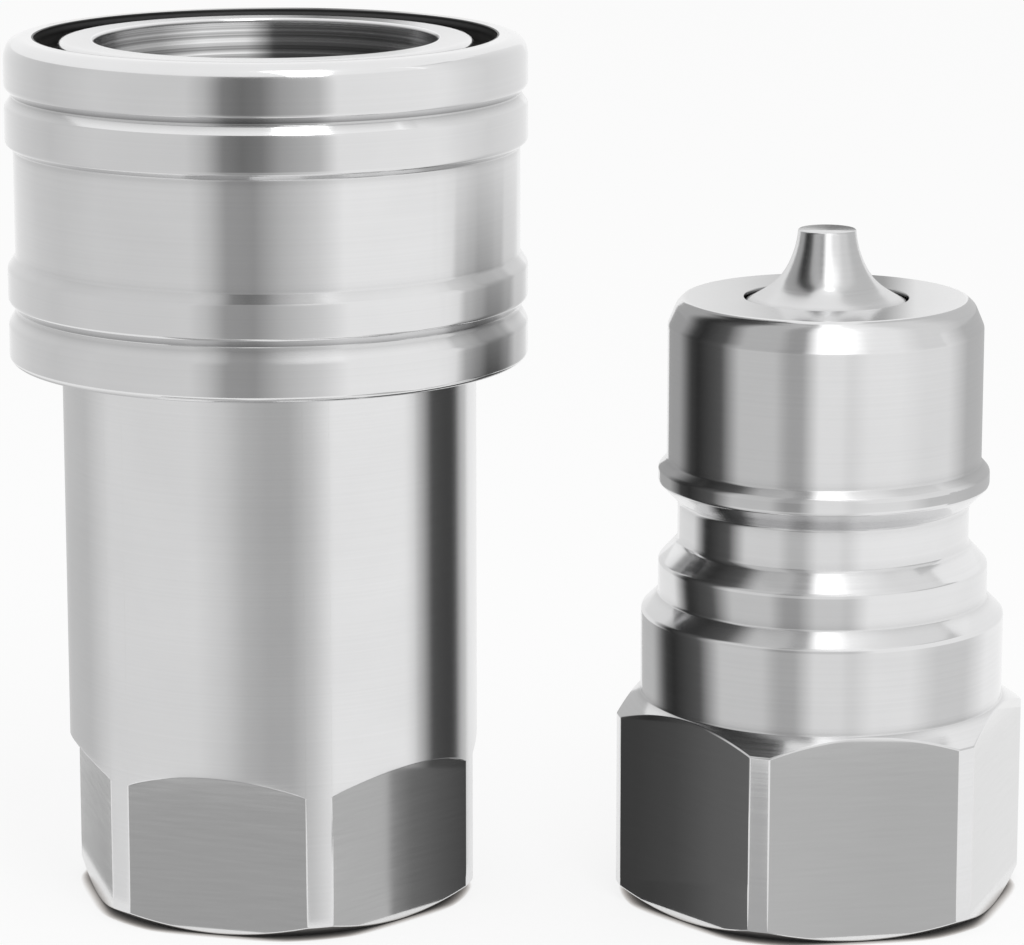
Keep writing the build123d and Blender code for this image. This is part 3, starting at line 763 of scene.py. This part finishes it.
def steel(name, centre, grey, roughness, ring_depth, bore=None, ring_scale=3000.0):
    """Plated steel with turning rings about the axis through centre, and painted shade in its grooves
    and corners.

    A bore is (radius, grey, roughness, ring depth) for what lies within that radius.
    """
    paint, tree, shader, place = new_paint(name)
    off = [-c for c in centre]
    place = add(tree, "ShaderNodeMapping", {"Vector": place, "Location": off}).outputs[0]
    part = add(tree, "ShaderNodeSeparateXYZ", {0: place}).outputs
    radius = maths(tree, "POWER", part["X"], 2)
    radius = maths(tree, "SQRT", maths(tree, "MULTIPLY_ADD", part["Y"], part["Y"], radius))
    profile = add(tree, "ShaderNodeCombineXYZ", {0: radius, 1: part["Z"]}).outputs[0]
    rings = noise(tree, profile, ring_scale, 3.0, 0.65, "2D")
    cloud = noise(tree, place, CLOUD_SCALE, 4.0, 0.6)
    tone = maths(tree, "MULTIPLY_ADD", cloud, CLOUD_CONTRAST, CLOUD_FLOOR)
    tone = maths(tree, "MULTIPLY_ADD", rings, RING_CONTRAST, tone)
    dull, depth = roughness, ring_depth
    if bore:
        bore_radius, bore_grey, bore_roughness, bore_depth = bore
        inside = maths(tree, "LESS_THAN", radius, bore_radius)
        grey = maths(tree, "MULTIPLY_ADD", inside, bore_grey - grey, grey)
        dull = maths(tree, "MULTIPLY_ADD", inside, bore_roughness - roughness, roughness)
        depth = maths(tree, "MULTIPLY_ADD", inside, bore_depth - ring_depth, ring_depth)
    tone = maths(tree, "MULTIPLY", tone, grey)
    if bore:
        streak = maths(tree, "MULTIPLY_ADD", rings, BORE_CONTRAST, -BORE_CONTRAST / 2)
        streak = maths(tree, "MULTIPLY_ADD", streak, inside, 1.0)
        tone = maths(tree, "MULTIPLY", tone, maths(tree, "MAXIMUM", streak, BORE_DARKEST))
    # Painted shade: the colour is darkened in narrow grooves and corners.
    nook_shade = add(tree, "ShaderNodeAmbientOcclusion", {"Distance": NOOK_SHADE_REACH}, samples=6)
    nook_shade = maths(tree, "POWER", nook_shade.outputs["AO"], NOOK_SHADE_POWER)
    nook_shade = maths(tree, "MULTIPLY_ADD", nook_shade, 1 - NOOK_SHADE_DARKEST, NOOK_SHADE_DARKEST)
    tone = maths(tree, "MULTIPLY", tone, nook_shade)
    change = maths(tree, "MULTIPLY_ADD", rings, RING_DULLNESS, -RING_DULLNESS / 2)
    dull = maths(tree, "ADD", dull, change)
    dress(tree, shader, same_grey(tree, tone, COOL), dull, rings, depth)
    return paint


socket_steel = steel("socket_steel", SOCKET_AXIS, 0.78, 0.17, 0.0000008)
plug_steel = steel("plug_steel", PLUG_CENTRE, 0.78, 0.14, 0.0000006)
print("materials", len(bpy.data.materials))

# %% [markdown]
# The flats are milled, not turned: the cutter runs along them and leaves faint streaks in that
# direction. Noise that is squeezed in height and stretched sideways looks like that.

# %% Milled steel
STREAK_SCALE = (180, 180, 2600)


def milled(name, grey, roughness, streak_depth, contrast):
    """Plated steel with level streaks, as a milling cutter leaves them."""
    paint, tree, shader, place = new_paint(name)
    long = add(tree, "ShaderNodeMapping", {"Vector": place, "Scale": STREAK_SCALE}).outputs[0]
    streaks = noise(tree, long, 1.0, 4.0)
    tone = maths(tree, "MULTIPLY_ADD", streaks, contrast, grey - contrast / 2)
    dull = maths(tree, "MULTIPLY_ADD", streaks, contrast, roughness - contrast / 2)
    dress(tree, shader, same_grey(tree, tone), dull, streaks, streak_depth)
    return paint


socket_flats = milled("socket_flats", 0.77, 0.12, 0.0000006, 0.09)
plug_flats = milled("plug_flats", 0.78, 0.09, 0.0000002, 0.05)
print("materials", len(bpy.data.materials))

# %% [markdown]
# ## The locking sleeve
#
# The sleeve is the grip: four lands that stand proud of a waist, with bevels between them. Inside
# are the mouth, the release cone, the locking land over the balls and the chamber of its spring.

# %% Sleeve
WAIST_R = 25.05
SLEEVE_TOP = 87.0
SLEEVE_FOOT = 55.0
LAND_EASE = 0.22
WAIST_EASE = 0.14

sleeve_outside = [
    (SLEEVE_R - 0.4, SLEEVE_FOOT, 0.15),
    (SLEEVE_R, 55.4, 0.2),
    (SLEEVE_R, 58.68, LAND_EASE),
    (WAIST_R, 59.98, WAIST_EASE),
    (WAIST_R, 60.28, WAIST_EASE),
    (SLEEVE_R, 61.17, LAND_EASE),
    (SLEEVE_R, 64.32, LAND_EASE),
    (WAIST_R, 65.46, WAIST_EASE),
    (WAIST_R, 76.13, WAIST_EASE),
    (SLEEVE_R, 76.77, LAND_EASE),
    (SLEEVE_R, 80.32, LAND_EASE),
    (WAIST_R, 81.41, WAIST_EASE),
    (SLEEVE_R, 82.30, LAND_EASE),
    (SLEEVE_R, 85.35, 0.8),
    (25.42, 86.5, 0.7),
    (24.35, SLEEVE_TOP, 0.6),
]
sleeve_inside = [
    (22.8, SLEEVE_TOP, 0.1),
    (22.8, 83.0, 0.1),
    (22.2, 83.0, 0.1),
    (22.2, 82.6, 0.1),
    (20.8, 77.9, 0.1),
    (20.8, 75.0, 0.1),
    (22.88, 75.0, 0.1),
    (22.88, SLEEVE_FOOT, 0.15),
]
# The inside of the sleeve gets a nearly black grey, a painted shade that keeps the gap round the ring
# in its mouth dark.
sleeve_bore_shade = (23 * MM, 0.08, 0.35, 0.000002)
sleeve_steel = steel("sleeve_steel", SOCKET_AXIS, 0.78, 0.11, 0.0000007, sleeve_bore_shade)
sleeve = turned("sleeve_shell", sleeve_outside + sleeve_inside, sleeve_steel)
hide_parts("sleeve")
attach(sleeve, "sleeve")

# %% [markdown]
# ## The two hexagon bodies
#
# Each body is turned first, and six flats for a spanner are milled on it. A boolean cut would
# leave long thin faces that shade badly. Instead the outline is worked out again for every
# column: its corners move with the angle, and the rows follow them, so each edge of a flat is a
# row or a column of the mesh and can be softened like the others.

# %% Body with milled flats
FOOT_CHAMFER = 1.45
FLAT_COLUMNS = 26
STRIP_COLUMNS = 5
EDGE_TURN = 0.12
ON_FLAT = 0.02


def flat_angles(corner_r):
    """Angles of the columns over one flat and the next corner strip, in degrees."""
    edge = math.degrees(math.acos(HEX_R / corner_r))
    first = edge - 3 * EDGE_TURN
    over_flat = [-first + 2 * first * i / FLAT_COLUMNS for i in range(FLAT_COLUMNS + 1)]
    down_edge = [edge - EDGE_TURN, edge + EDGE_TURN]
    start = edge + 3 * EDGE_TURN
    width = 60 - 2 * start
    strip = [start + width * i / STRIP_COLUMNS for i in range(STRIP_COLUMNS + 1)]
    up_edge = [60 - edge - EDGE_TURN, 60 - edge + EDGE_TURN]
    return over_flat + down_edge + strip + up_edge


def hex_body(name, corner_r, turn, outline_at, materials, centre):
    """A closed body whose outline changes with the angle from the middle of the nearest flat.

    The materials are the one for turned faces and the one for milled flats.
    """
    sector = flat_angles(corner_r)
    points, faces, milled_faces = [], [], []
    on_flat = []
    for side in range(6):
        for angle in sector:
            near = angle if angle < 30 else angle - 60
            outline = eased(outline_at(abs(near)))
            around = math.radians(turn + 60 * side + angle)
            for p in outline:
                x, y = p.x * math.cos(around), p.x * math.sin(around)
                points.append((x + centre[0], y + centre[1], p.y))
                from_plane = p.x * math.cos(math.radians(near)) - HEX_R * MM
                on_flat.append(abs(from_plane) < ON_FLAT * MM)
    columns = 6 * len(sector)
    rows = len(outline)
    for column in range(columns):
        a, b = column * rows, (column + 1) % columns * rows
        for row in range(rows):
            after = (row + 1) % rows
            face = (a + row, b + row, b + after, a + after)
            faces.append(face)
            milled_faces.append(all(on_flat[corner] for corner in face))
    mesh = bpy.data.meshes.new(name)
    mesh.from_pydata(points, [], faces)
    for material in materials:
        mesh.materials.append(material)
    mesh.polygons.foreach_set("use_smooth", [True] * len(faces))
    mesh.polygons.foreach_set("material_index", [int(flat) for flat in milled_faces])
    made = linked(name, mesh)
    print(name, len(faces), "faces", sum(milled_faces), "of them milled")
    return made


# %% [markdown]
# The flats of the socket were cut by a face mill, a wide disc that stopped part of the way up, so
# each ends in an arch with a narrow ledge that looks down. The foot is chamfered all round.

# %% Socket body
FOOT_R = 18.3
CHAMFER_SLOPE = FOOT_CHAMFER / (BODY_R - FOOT_R)
REAR_TOP = 59.0
PORT_R = 13.22


def socket_outline(angle):
    """Corners of the socket body's outline at an angle from the middle of a flat, in degrees."""
    c = math.cos(math.radians(angle))
    wall = min(HEX_R / c, BODY_R)
    arch = FLAT_TOP + max((BODY_R * c - HEX_R) * ARCH_RISE, 0)
    return [
        (13.6, 0, 0.1),
        (FOOT_R, 0, 0.1),
        (wall, (wall - FOOT_R) * CHAMFER_SLOPE, 0.12),
        (wall, arch, 0.06),
        (BODY_R, arch + 0.06, 0.1),
        (BODY_R, REAR_TOP, 0.15),
        (18.55, REAR_TOP, 0.1),
        (18.55, 54.4, 0.1),
        (17.5, 54.4, 0.1),
        (17.5, 43.0, 0.1),
        (15.0, 43.0, 0.1),
        (15.0, 24.0, 0.1),
        (12.2, 24.0, 0.1),
        (12.2, 20.0, 0.1),
        (13.4, 20.0, 0.1),
        (13.4, 17.0, 0.1),
        (PORT_R, 16.8, 0.1),
        (PORT_R, 0.4, 0.1),
    ]


rear_body = hex_body(
    "socket_rear_body", BODY_R, SOCKET_TURN, socket_outline, (socket_steel, socket_flats), SOCKET_AXIS
)
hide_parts("rear_body")
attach(rear_body, "body")

# %% [markdown]
# The plug's hexagon is closed above by a turned cone, so its flats end in the same arches. Over
# it come the collar, the step, the ball groove, the ridge and the nose.

# %% Plug body
CORNER_R = 20.8
CONE_FOOT = 19.1
CONE_SLOPE = 1.8 / 2.6
PLUG_CHAMFER_SLOPE = FOOT_CHAMFER / (CORNER_R - FOOT_R)


def plug_outline(angle):
    """Corners of the plug body's outline at an angle from the middle of a flat, in degrees."""
    c = math.cos(math.radians(angle))
    wall = min(HEX_R / c, CORNER_R)
    return [
        (13.6, 0, 0.1),
        (FOOT_R, 0, 0.1),
        (wall, (wall - FOOT_R) * PLUG_CHAMFER_SLOPE, 0.12),
        (wall, CONE_FOOT + (CORNER_R - wall) * CONE_SLOPE, 0.12),
        (18.2, 20.9, 0.12),
        (18.2, 29.4, 0.25),
        (16.5, 31.05, 0.15),
        (16.5, 34.45, 0.25),
        (14.57, 36.54, 0.3),
        (14.57, 40.53, 0.3),
        (16.55, 42.52, 0.25),
        (16.55, 43.90, 0.25),
        (15.7, 44.82, 0.15),
        (15.7, 58.38, 0.2),
        (14.85, 60.40, 0.3),
        (14.15, 61.1, 0.3),
        (8.17, 61.1, 0.08),
        (8.17, 59.3, 0.08),
        (12.0, 55.47, 0.1),
        (12.0, 24.05, 0.1),
        (12.9, 24.05, 0.05),
        (12.9, 22.65, 0.05),
        (12.0, 22.65, 0.1),
        (12.0, 19.5, 0.1),
        (13.4, 19.5, 0.1),
        (13.4, 16.5, 0.1),
        (PORT_R, 16.3, 0.1),
        (PORT_R, 0.4, 0.1),
    ]


plug_body = hex_body(
    "plug_shell", CORNER_R, PLUG_TURN, plug_outline, (plug_steel, plug_flats), PLUG_CENTRE
)
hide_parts("plug_body")
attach(plug_body, "body")

# %% [markdown]
# ## The valves
#
# Each half is closed by a poppet valve. Its trumpet tip stands in the middle of the nose; when
# the halves meet, the two tips push each other open. The outline runs from the tip down to the
# stem, and both its ends lie on the axis, where merging by distance makes them poles.

# %% Trumpet curve
TRUMPET = [
    (8.0, -0.40),
    (7.15, 0.05),
    (6.3, 0.56),
    (5.5, 1.12),
    (4.78, 1.80),
    (4.2, 2.58),
    (3.76, 3.38),
    (3.42, 4.2),
    (3.14, 5.1),
    (2.96, 6.0),
    (2.88, 6.7),
]
TRUMPET_STEPS = 4


def smooth_curve(stops):
    """Points of a smooth curve through the stops, by Catmull and Rom's rule."""
    ends = [stops[0], *stops, stops[-1]]
    points = []
    for before, start, end, after in zip(ends, ends[1:], ends[2:], ends[3:]):
        for step in range(TRUMPET_STEPS):
            t = step / TRUMPET_STEPS
            place = []
            for a, b, c, d in zip(before, start, end, after):
                bend = (2 * a - 5 * b + 4 * c - d) * t**2 + (3 * b - a - 3 * c + d) * t**3
                place.append(0.5 * (2 * b + (c - a) * t + bend))
            points.append(tuple(place))
    return [*points, stops[-1]]


print("trumpet points", len(smooth_curve(TRUMPET)))

# %% [markdown]
# Both valves have the same outline, which hangs from the face of their body. So one function
# makes both, and only the height of that face, the steel and the axis differ.

# %% Valves
def poppet(name, face, stem_foot, material, centre):
    """A valve whose flange lies just under the given face of its body."""
    trumpet = [(radius, face + up, 0) for radius, up in smooth_curve(TRUMPET)]
    corners = [
        (0, stem_foot, 0),
        (2.0, stem_foot, 0.15),
        (2.5, stem_foot + 0.5, 0.15),
        (2.5, face - 8.101, 0.1),
        (5.1, face - 8.101, 0.2),
        (5.1, face - 6.601, 0.1),
        (11.0, face - 6.601, 0.15),
        (11.0, face - 4.771, 0.15),
        (8.0, face - 1.771, 0.1),
        (8.0, face - 0.52, 0.05),
        *trumpet,
        (2.78, face + 6.8, 0),
        (0, face + 6.8, 0),
    ]
    return turned(name, corners, material, centre, columns=160)


valve_steel = steel("valve_steel", PLUG_CENTRE, 0.74, 0.22, 0.0000012)
socket_valve = poppet("socket_poppet", 55.4, 24.5, socket_steel, SOCKET_AXIS)
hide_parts("socket_valve")
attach(socket_valve, "socket_valve")
plug_valve = poppet("plug_poppet", 61.1, 24.5, valve_steel, PLUG_CENTRE)
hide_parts("plug_valve")
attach(plug_valve, "plug_valve")

# %% [markdown]
# ## The front body and its ball holes
#
# The ring in the mouth of the socket is the end of the front body. Ten balls sit in holes through
# its wall. The wall comes from the lathe, and a second tree bores the holes: it sets ten short
# cylinders on a circle, points each one at the axis, and takes them away with Mesh Boolean. The
# holes are wide outside and narrower inside, so two sets of cylinders are needed.

# %% Front body outline
FRONT_R = 20.5
FRONT_FACE = 86.7
BALL_R = 3.0
BALL_PLACE_R = 17.65
BALL_HEIGHT = 78.0
BALL_COUNT = 10

front_corners = [
    (16.9, 86.45, 0.1),
    (16.9, 81.4, 0.1),
    (16.7, 81.4, 0),
    (16.7, 72.1, 0.1),
    (15.8, 71.2, 0.1),
    (15.8, 68.7, 0.1),
    (18.2, 68.7, 0.1),
    (18.2, 64.5, 0.1),
    (15.8, 64.5, 0.1),
    (15.8, 55.4, 0.1),
    (8.17, 55.4, 0.08),
    (8.17, 53.6, 0.08),
    (12.6, 49.17, 0.1),
    (12.6, 44.0, 0.1),
    (17.45, 44.0, 0.1),
    (17.45, 54.5, 0.1),
    (18.5, 54.5, 0.1),
    (18.5, 55.55, 0.05),
    (17.2, 55.55, 0.05),
    (17.2, 57.95, 0.05),
    (18.5, 57.95, 0.05),
    (18.5, 59.0, 0.1),
    (22.8, 59.0, 0.1),
    (22.8, 61.5, 0.15),
    (20.5, 61.5, 0.1),
    (20.5, 83.1, 0.05),
    (19.7, 83.1, 0.05),
    (19.7, 84.5, 0.05),
    (20.5, 84.5, 0.05),
    (FRONT_R, FRONT_FACE, 0.8),
    (17.1, FRONT_FACE, 0.1),
]
print("front body corners", len(front_corners))

# %% [markdown]
# Twenty cutters with a modifier each would be slow to set up and to change. The tree asks for
# the number of holes and their sizes instead. Walls are shaded smooth and only the rims sharp.

# %% Bore the ball holes
HOLE_CORNERS = 40


def bored_tree():
    numbers = ["Height", "Step Radius", "Inner Hole", "Outer Hole", "Reach"]
    inputs = {"Body": "Geometry", "Count": "Int", **dict.fromkeys(numbers, "Float")}
    tree, given = new_tree("ball_holes", {**inputs, "Material": "Material"})
    lift = add(tree, "ShaderNodeCombineXYZ", {2: given["Height"]}).outputs[0]
    cut = add(tree, "GeometryNodeMeshBoolean", operation="DIFFERENCE", solver="EXACT")
    tree.links.new(given["Body"], cut.inputs["Mesh 1"])
    for hole, way in (("Inner Hole", "SUBTRACT"), ("Outer Hole", "ADD")):
        middle = maths(tree, way, given["Step Radius"], maths(tree, "DIVIDE", given["Reach"], 2))
        ring = add(tree, "GeometryNodeMeshCircle", {"Vertices": given["Count"], "Radius": middle})
        bit = {"Vertices": HOLE_CORNERS, "Radius": given[hole], "Depth": given["Reach"]}
        drill = add(tree, "GeometryNodeMeshCylinder", bit).outputs["Mesh"]
        aim = {"Vector": position(tree)}
        outward = add(tree, "FunctionNodeAlignRotationToVector", aim, axis="Z").outputs[0]
        setting = {"Points": ring.outputs[0], "Instance": drill, "Rotation": outward}
        drills = add(tree, "GeometryNodeInstanceOnPoints", setting).outputs[0]
        raised = add(tree, "GeometryNodeRealizeInstances", {0: moved(tree, drills, lift)})
        tree.links.new(raised.outputs[0], cut.inputs["Mesh 2"])
    smooth = add(tree, "GeometryNodeSetShadeSmooth", {"Geometry": cut.outputs["Mesh"]}).outputs[0]
    rims = {"Geometry": smooth, "Selection": cut.outputs["Intersecting Edges"]}
    rims["Shade Smooth"] = False
    sharp = add(tree, "GeometryNodeSetShadeSmooth", rims, domain="EDGE")
    end_tree(tree, sharp.outputs[0], given["Material"])
    return tree


ball_holes = bored_tree()
print("ball hole nodes", len(ball_holes.nodes))

# %% [markdown]
# The bore of the front body is duller than its outside and its turning marks are deeper, as a coarser
# cut leaves them. It is darker too, partly for that finish and partly as painted shade for the deep
# bore. The steel takes all of that as one bore, so a single material covers the whole piece.

# %% Front body
front_bore_finish_and_shade = (17.2 * MM, 0.62, 0.2, 0.00002)
bored_steel = steel(
    "bored_steel", SOCKET_AXIS, 0.78, 0.15, 0.0000008, front_bore_finish_and_shade, ring_scale=1700.0
)
front_body = turned("front_ring", front_corners, bored_steel, columns=240)
holes = {
    "Count": BALL_COUNT,
    "Height": BALL_HEIGHT * MM,
    "Step Radius": 17.3 * MM,
    "Inner Hole": 2.85 * MM,
    "Outer Hole": 3.05 * MM,
    "Reach": 6 * MM,
    "Material": bored_steel,
}
run_tree(front_body, ball_holes, holes)
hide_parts("front_body")
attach(front_body, "body")

# %% [markdown]
# ## Locking balls
#
# A ball must be round from every side, and an ico sphere has no poles to show. Each ball is a
# body of its own that slides outward, so the tree makes one ball at a time, at its own turn.

# %% Ball tree
def ball_tree():
    inputs = {"Start": "Geometry", **dict.fromkeys(["Radius", "Circle", "Turn", "Height"], "Float")}
    tree, given = new_tree("ball", {**inputs, "Material": "Material"})
    round_ball = {"Radius": given["Radius"], "Subdivisions": 5}
    ball = add(tree, "GeometryNodeMeshIcoSphere", round_ball).outputs["Mesh"]
    place = round_place(tree, given["Circle"], given["Turn"], given["Height"])
    close_tree(tree, moved(tree, ball, place), given["Material"])
    return tree


balls = ball_tree()
print("ball nodes", len(balls.nodes))

# %% [markdown]
# Bearing balls are hardened and polished, so they are nearly mirrors. Real ones aren't perfect:
# noise makes some patches paler and a little duller, as a film of oil does.

# %% Balls
DARK_CHROME = (0.70, 0.70, 0.72, 1)
LIGHT_CHROME = (0.84, 0.84, 0.85, 1)

ball_steel, tree, shader, place = new_paint("ball_steel")
smear = noise(tree, place, 700.0, 3.0)
dull = maths(tree, "MULTIPLY_ADD", smear, 0.14, 0.03)
tree.links.new(dull, shader.inputs["Roughness"])
tree.links.new(between(tree, smear, DARK_CHROME, LIGHT_CHROME), shader.inputs["Base Color"])

for number in range(BALL_COUNT):
    values = {
        "Radius": BALL_R * MM,
        "Circle": BALL_PLACE_R * MM,
        "Turn": math.tau * number / BALL_COUNT,
        "Height": BALL_HEIGHT * MM,
        "Material": ball_steel,
    }
    ball = shaped(f"locking_ball_{number + 1}", [(0, 0, 0)], balls, values)
    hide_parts(f"ball_{number + 1}")
    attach(ball, f"ball_{number + 1}")

# %% [markdown]
# ## Springs
#
# A coil is round wire along a helix. The Spiral primitive gives the helix and Curve to Mesh sweeps the
# wire along it. Springs close up as their joint moves; here each one is made at the length of its
# room.

# %% Coil tree
def helix(tree, given, resolution):
    """A helix of the given turns, radius and rise, with so many points to a turn."""
    inputs = {"Resolution": resolution, "Rotations": given["Turns"], "Height": given["Rise"]}
    inputs.update({"Start Radius": given["Radius"], "End Radius": given["Radius"]})
    return add(tree, "GeometryNodeCurveSpiral", inputs).outputs[0]


def swept(tree, given, path, profile):
    """The end of a coil's tree: the profile swept along the path, and set on its foot."""
    inputs = {"Curve": path, "Profile Curve": profile, "Fill Caps": True}
    skin = add(tree, "GeometryNodeCurveToMesh", inputs).outputs[0]
    close_tree(tree, moved(tree, skin, given["Foot"]), given["Material"])


def coil_tree():
    inputs = {"Start": "Geometry", **dict.fromkeys(["Turns", "Radius", "Rise", "Wire"], "Float")}
    tree, given = new_tree("coil", {**inputs, "Foot": "Vector", "Material": "Material"})
    section = {"Resolution": 16, "Radius": given["Wire"]}
    wire = add(tree, "GeometryNodeCurvePrimitiveCircle", section).outputs[0]
    swept(tree, given, helix(tree, given, 56), wire)
    return tree


coils = coil_tree()
print("coil nodes", len(coils.nodes))

# %% [markdown]
# Spring wire is drawn through a die, which leaves it dark and faintly streaked. The oxide has a
# warm cast, and noise sets how dull each patch is.

# %% Spring wire
DARK_WIRE = (0.22, 0.21, 0.20, 1)
LIGHT_WIRE = (0.38, 0.37, 0.36, 1)

wire_steel, tree, shader, place = new_paint("wire_steel")
streak = noise(tree, place, 900.0, 4.0)
tone = between(tree, streak, DARK_WIRE, LIGHT_WIRE)
dull = maths(tree, "MULTIPLY_ADD", streak, 0.3, 0.25)
dress(tree, shader, tone, dull, streak, 0.00001, 0.6)
print("materials", len(bpy.data.materials))

# %% [markdown]
# The sleeve's spring sits round the front body, and each valve has one round its stem. Each is as long
# as the room between its two faces.

# %% Springs
VALVE_TRAVEL = 6.6
SLEEVE_TRAVEL = 7.0
END_GAP = 0.02


def spring(name, node, joint, mean_r, wire, foot, top, turns, travel, centre):
    """A coil that fills the room between two faces."""
    rise = top - foot - wire - 2 * END_GAP
    values = {
        "Turns": turns,
        "Radius": mean_r * MM,
        "Rise": rise * MM,
        "Wire": wire / 2 * MM,
        "Foot": (centre[0], centre[1], (foot + wire / 2 + END_GAP) * MM),
        "Material": wire_steel,
    }
    made = shaped(name, [(0, 0, 0)], coils, values)
    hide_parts(node)
    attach(made, "body")
    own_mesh(made)
    return made


coil_sizes = [
    ("sleeve", 21.83, 1.5, 61.5, 75.0, 3.0, SLEEVE_TRAVEL, SOCKET_AXIS),
    ("socket_valve", 6.25, 1.6, 27.0, 48.8, 6.5, VALVE_TRAVEL, SOCKET_AXIS),
    ("plug_valve", 6.25, 1.6, 27.0, 54.5, 8.0, VALVE_TRAVEL, PLUG_CENTRE),
]
for name, *sizes in coil_sizes:
    spring(f"{name}_coil", f"{name}_spring", f"{name}_slide", *sizes)

# %% [markdown]
# ## Port threads
#
# Both ports have a pipe thread. A tapped thread is one ridge that winds up the wall, so it is
# made as the springs are: a small pointed profile along a helix, with its point inward.

# %% Thread tree
def thread_tree():
    inputs = {"Profile": "Geometry", **dict.fromkeys(["Turns", "Radius", "Rise"], "Float")}
    tree, given = new_tree("thread", {**inputs, "Foot": "Vector", "Material": "Material"})
    upright = {"Curve": helix(tree, given, 72)}
    level = add(tree, "GeometryNodeSetCurveNormal", upright, mode="Z_UP").outputs[0]
    profile = add(tree, "GeometryNodeMeshToCurve", {"Mesh": given["Profile"]}).outputs[0]
    swept(tree, given, level, profile)
    return tree


threads = thread_tree()
print("thread nodes", len(threads.nodes))

# %% [markdown]
# A pipe thread of this size has fourteen turns to the inch, so its pitch is 1.814 mm. The
# profile is a thin wedge: four points that edges join in a ring. The tree turns it into a curve
# and sweeps it along the helix.

# %% Threads
THREAD_PITCH = 1.814
THREAD_DEPTH = 1.16
THREAD_START = 1.5
THREAD_LEFT_OUT = 2.4


def port_thread(name, depth, material, centre):
    """The ridge of a port's thread, from the mouth up to its depth."""
    half = THREAD_PITCH * 0.44
    profile = [(-0.05, -half), (THREAD_DEPTH, -0.14), (THREAD_DEPTH, 0.14), (-0.05, half)]
    mesh = bpy.data.meshes.new(name)
    points = [(x * MM, y * MM, 0) for x, y in profile]
    mesh.from_pydata(points, [(0, 1), (1, 2), (2, 3), (3, 0)], [])
    made = linked(name, mesh)
    rise = depth - THREAD_LEFT_OUT
    values = {
        "Turns": rise / THREAD_PITCH,
        "Radius": PORT_R * MM,
        "Rise": rise * MM,
        "Foot": (centre[0], centre[1], THREAD_START * MM),
        "Material": material,
    }
    run_tree(made, threads, values)
    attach(made, "body")
    return made


port_thread("socket_port_thread", 17.0, socket_steel, SOCKET_AXIS)
port_thread("plug_port_thread", 16.5, plug_steel, PLUG_CENTRE)

# %% [markdown]
# ## Seals
#
# Seals are rings of round section, so the lathe turns them too, from a circle of points. The
# rubber is black and matt; the stiff ring behind the plug's seal is pale and waxy.

# %% Rubber and waxy plastic
def soft_paint(name, dark, light, roughness, scale, depth):
    """A plain finish whose tone, dullness and grain come from one noise."""
    paint, tree, shader, place = new_paint(name, metallic=0.0)
    grain = noise(tree, place, scale, 4.0)
    dull = maths(tree, "MULTIPLY_ADD", grain, 0.2, roughness - 0.1)
    dress(tree, shader, between(tree, grain, dark, light), dull, grain, depth, 0.5)
    return paint


BLACK, DEEP_GREY = (0.010, 0.010, 0.010, 1), (0.030, 0.030, 0.032, 1)
CREAM, PALE_CREAM = (0.76, 0.75, 0.70, 1), (0.88, 0.87, 0.83, 1)
rubber = soft_paint("seal_rubber", BLACK, DEEP_GREY, 0.55, 1500.0, 0.00002)
waxy = soft_paint("backup_plastic", CREAM, PALE_CREAM, 0.40, 500.0, 0.00001)
print("materials", len(bpy.data.materials))

# %% [markdown]
# A circle of points is the section of a seal; one that is squeezed between its walls gets an
# oval instead. The stiff ring is oblong in section, so four corners are enough for it.

# %% Seal rings
SECTION_POINTS = 24
RING_COLUMNS = 128


def seal_ring(name, node, body, mid_r, mid_z, width, height, centre):
    """A rubber ring whose section is an ellipse of the given width and height."""
    points = []
    for i in range(SECTION_POINTS):
        turn = -math.tau * i / SECTION_POINTS
        x = mid_r + width / 2 * math.cos(turn)
        z = mid_z + height / 2 * math.sin(turn)
        points.append((x * MM, 0, z * MM))
    values = {"Columns": RING_COLUMNS, "Centre": centre, "Material": rubber}
    made = shaped(name, points, lathe, values)
    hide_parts(node)
    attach(made, body)
    return made


seal_ring("nose_seal", "plug_seal_o_ring", "body", 16.86, 65.86, 2.62, 2.62, SOCKET_AXIS)
seal_ring("body_seal", "body_o_ring", "body", 17.875, 56.75, 1.30, 1.90, SOCKET_AXIS)
for half, height, centre in (("socket", 51.535, SOCKET_AXIS), ("plug", 57.235, PLUG_CENTRE)):
    valve = half + "_valve"
    seal_ring(half + "_poppet_seal", valve + "_seal", valve, 8.906, height, 1.8, 1.8, centre)

BACKUP_EASE = 0.12
backup_wall = [(15.85, 67.3), (18.15, 67.3), (18.15, 68.65), (15.85, 68.65)]
backup_corners = [(*corner, BACKUP_EASE) for corner in backup_wall]
backup = turned("stiff_ring", backup_corners, waxy, columns=RING_COLUMNS)
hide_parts("backup_ring")
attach(backup, "body")

# %% [markdown]
# ## Nodes that stay
#
# The valve guides and the two split rings keep their CAD shape. They only get their finish.

# %% Carried-over nodes
kept_finish = {
    "socket_valve_guide": socket_steel,
    "plug_valve_guide": plug_steel,
    "sleeve_stop_ring": wire_steel,
    "plug_retaining_ring": wire_steel,
}
for name, finish in kept_finish.items():
    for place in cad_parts[name].material_slots:
        place.material = finish
still_shown = sorted(n for n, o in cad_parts.items() if not o.hide_render)
print("kept nodes", still_shown)

# %% [markdown]
# ## Finish
#
# The box of the loaded solids and the box of the finished looks are measured and put side by side, and
# the size of the finished box is printed.

# %% Size and finish
new_low, new_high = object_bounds()
sizes = {"cad": [list(cad_low), list(cad_high)], "visual": [list(new_low), list(new_high)]}
print("visual box", [round(c, 4) for c in new_high - new_low])
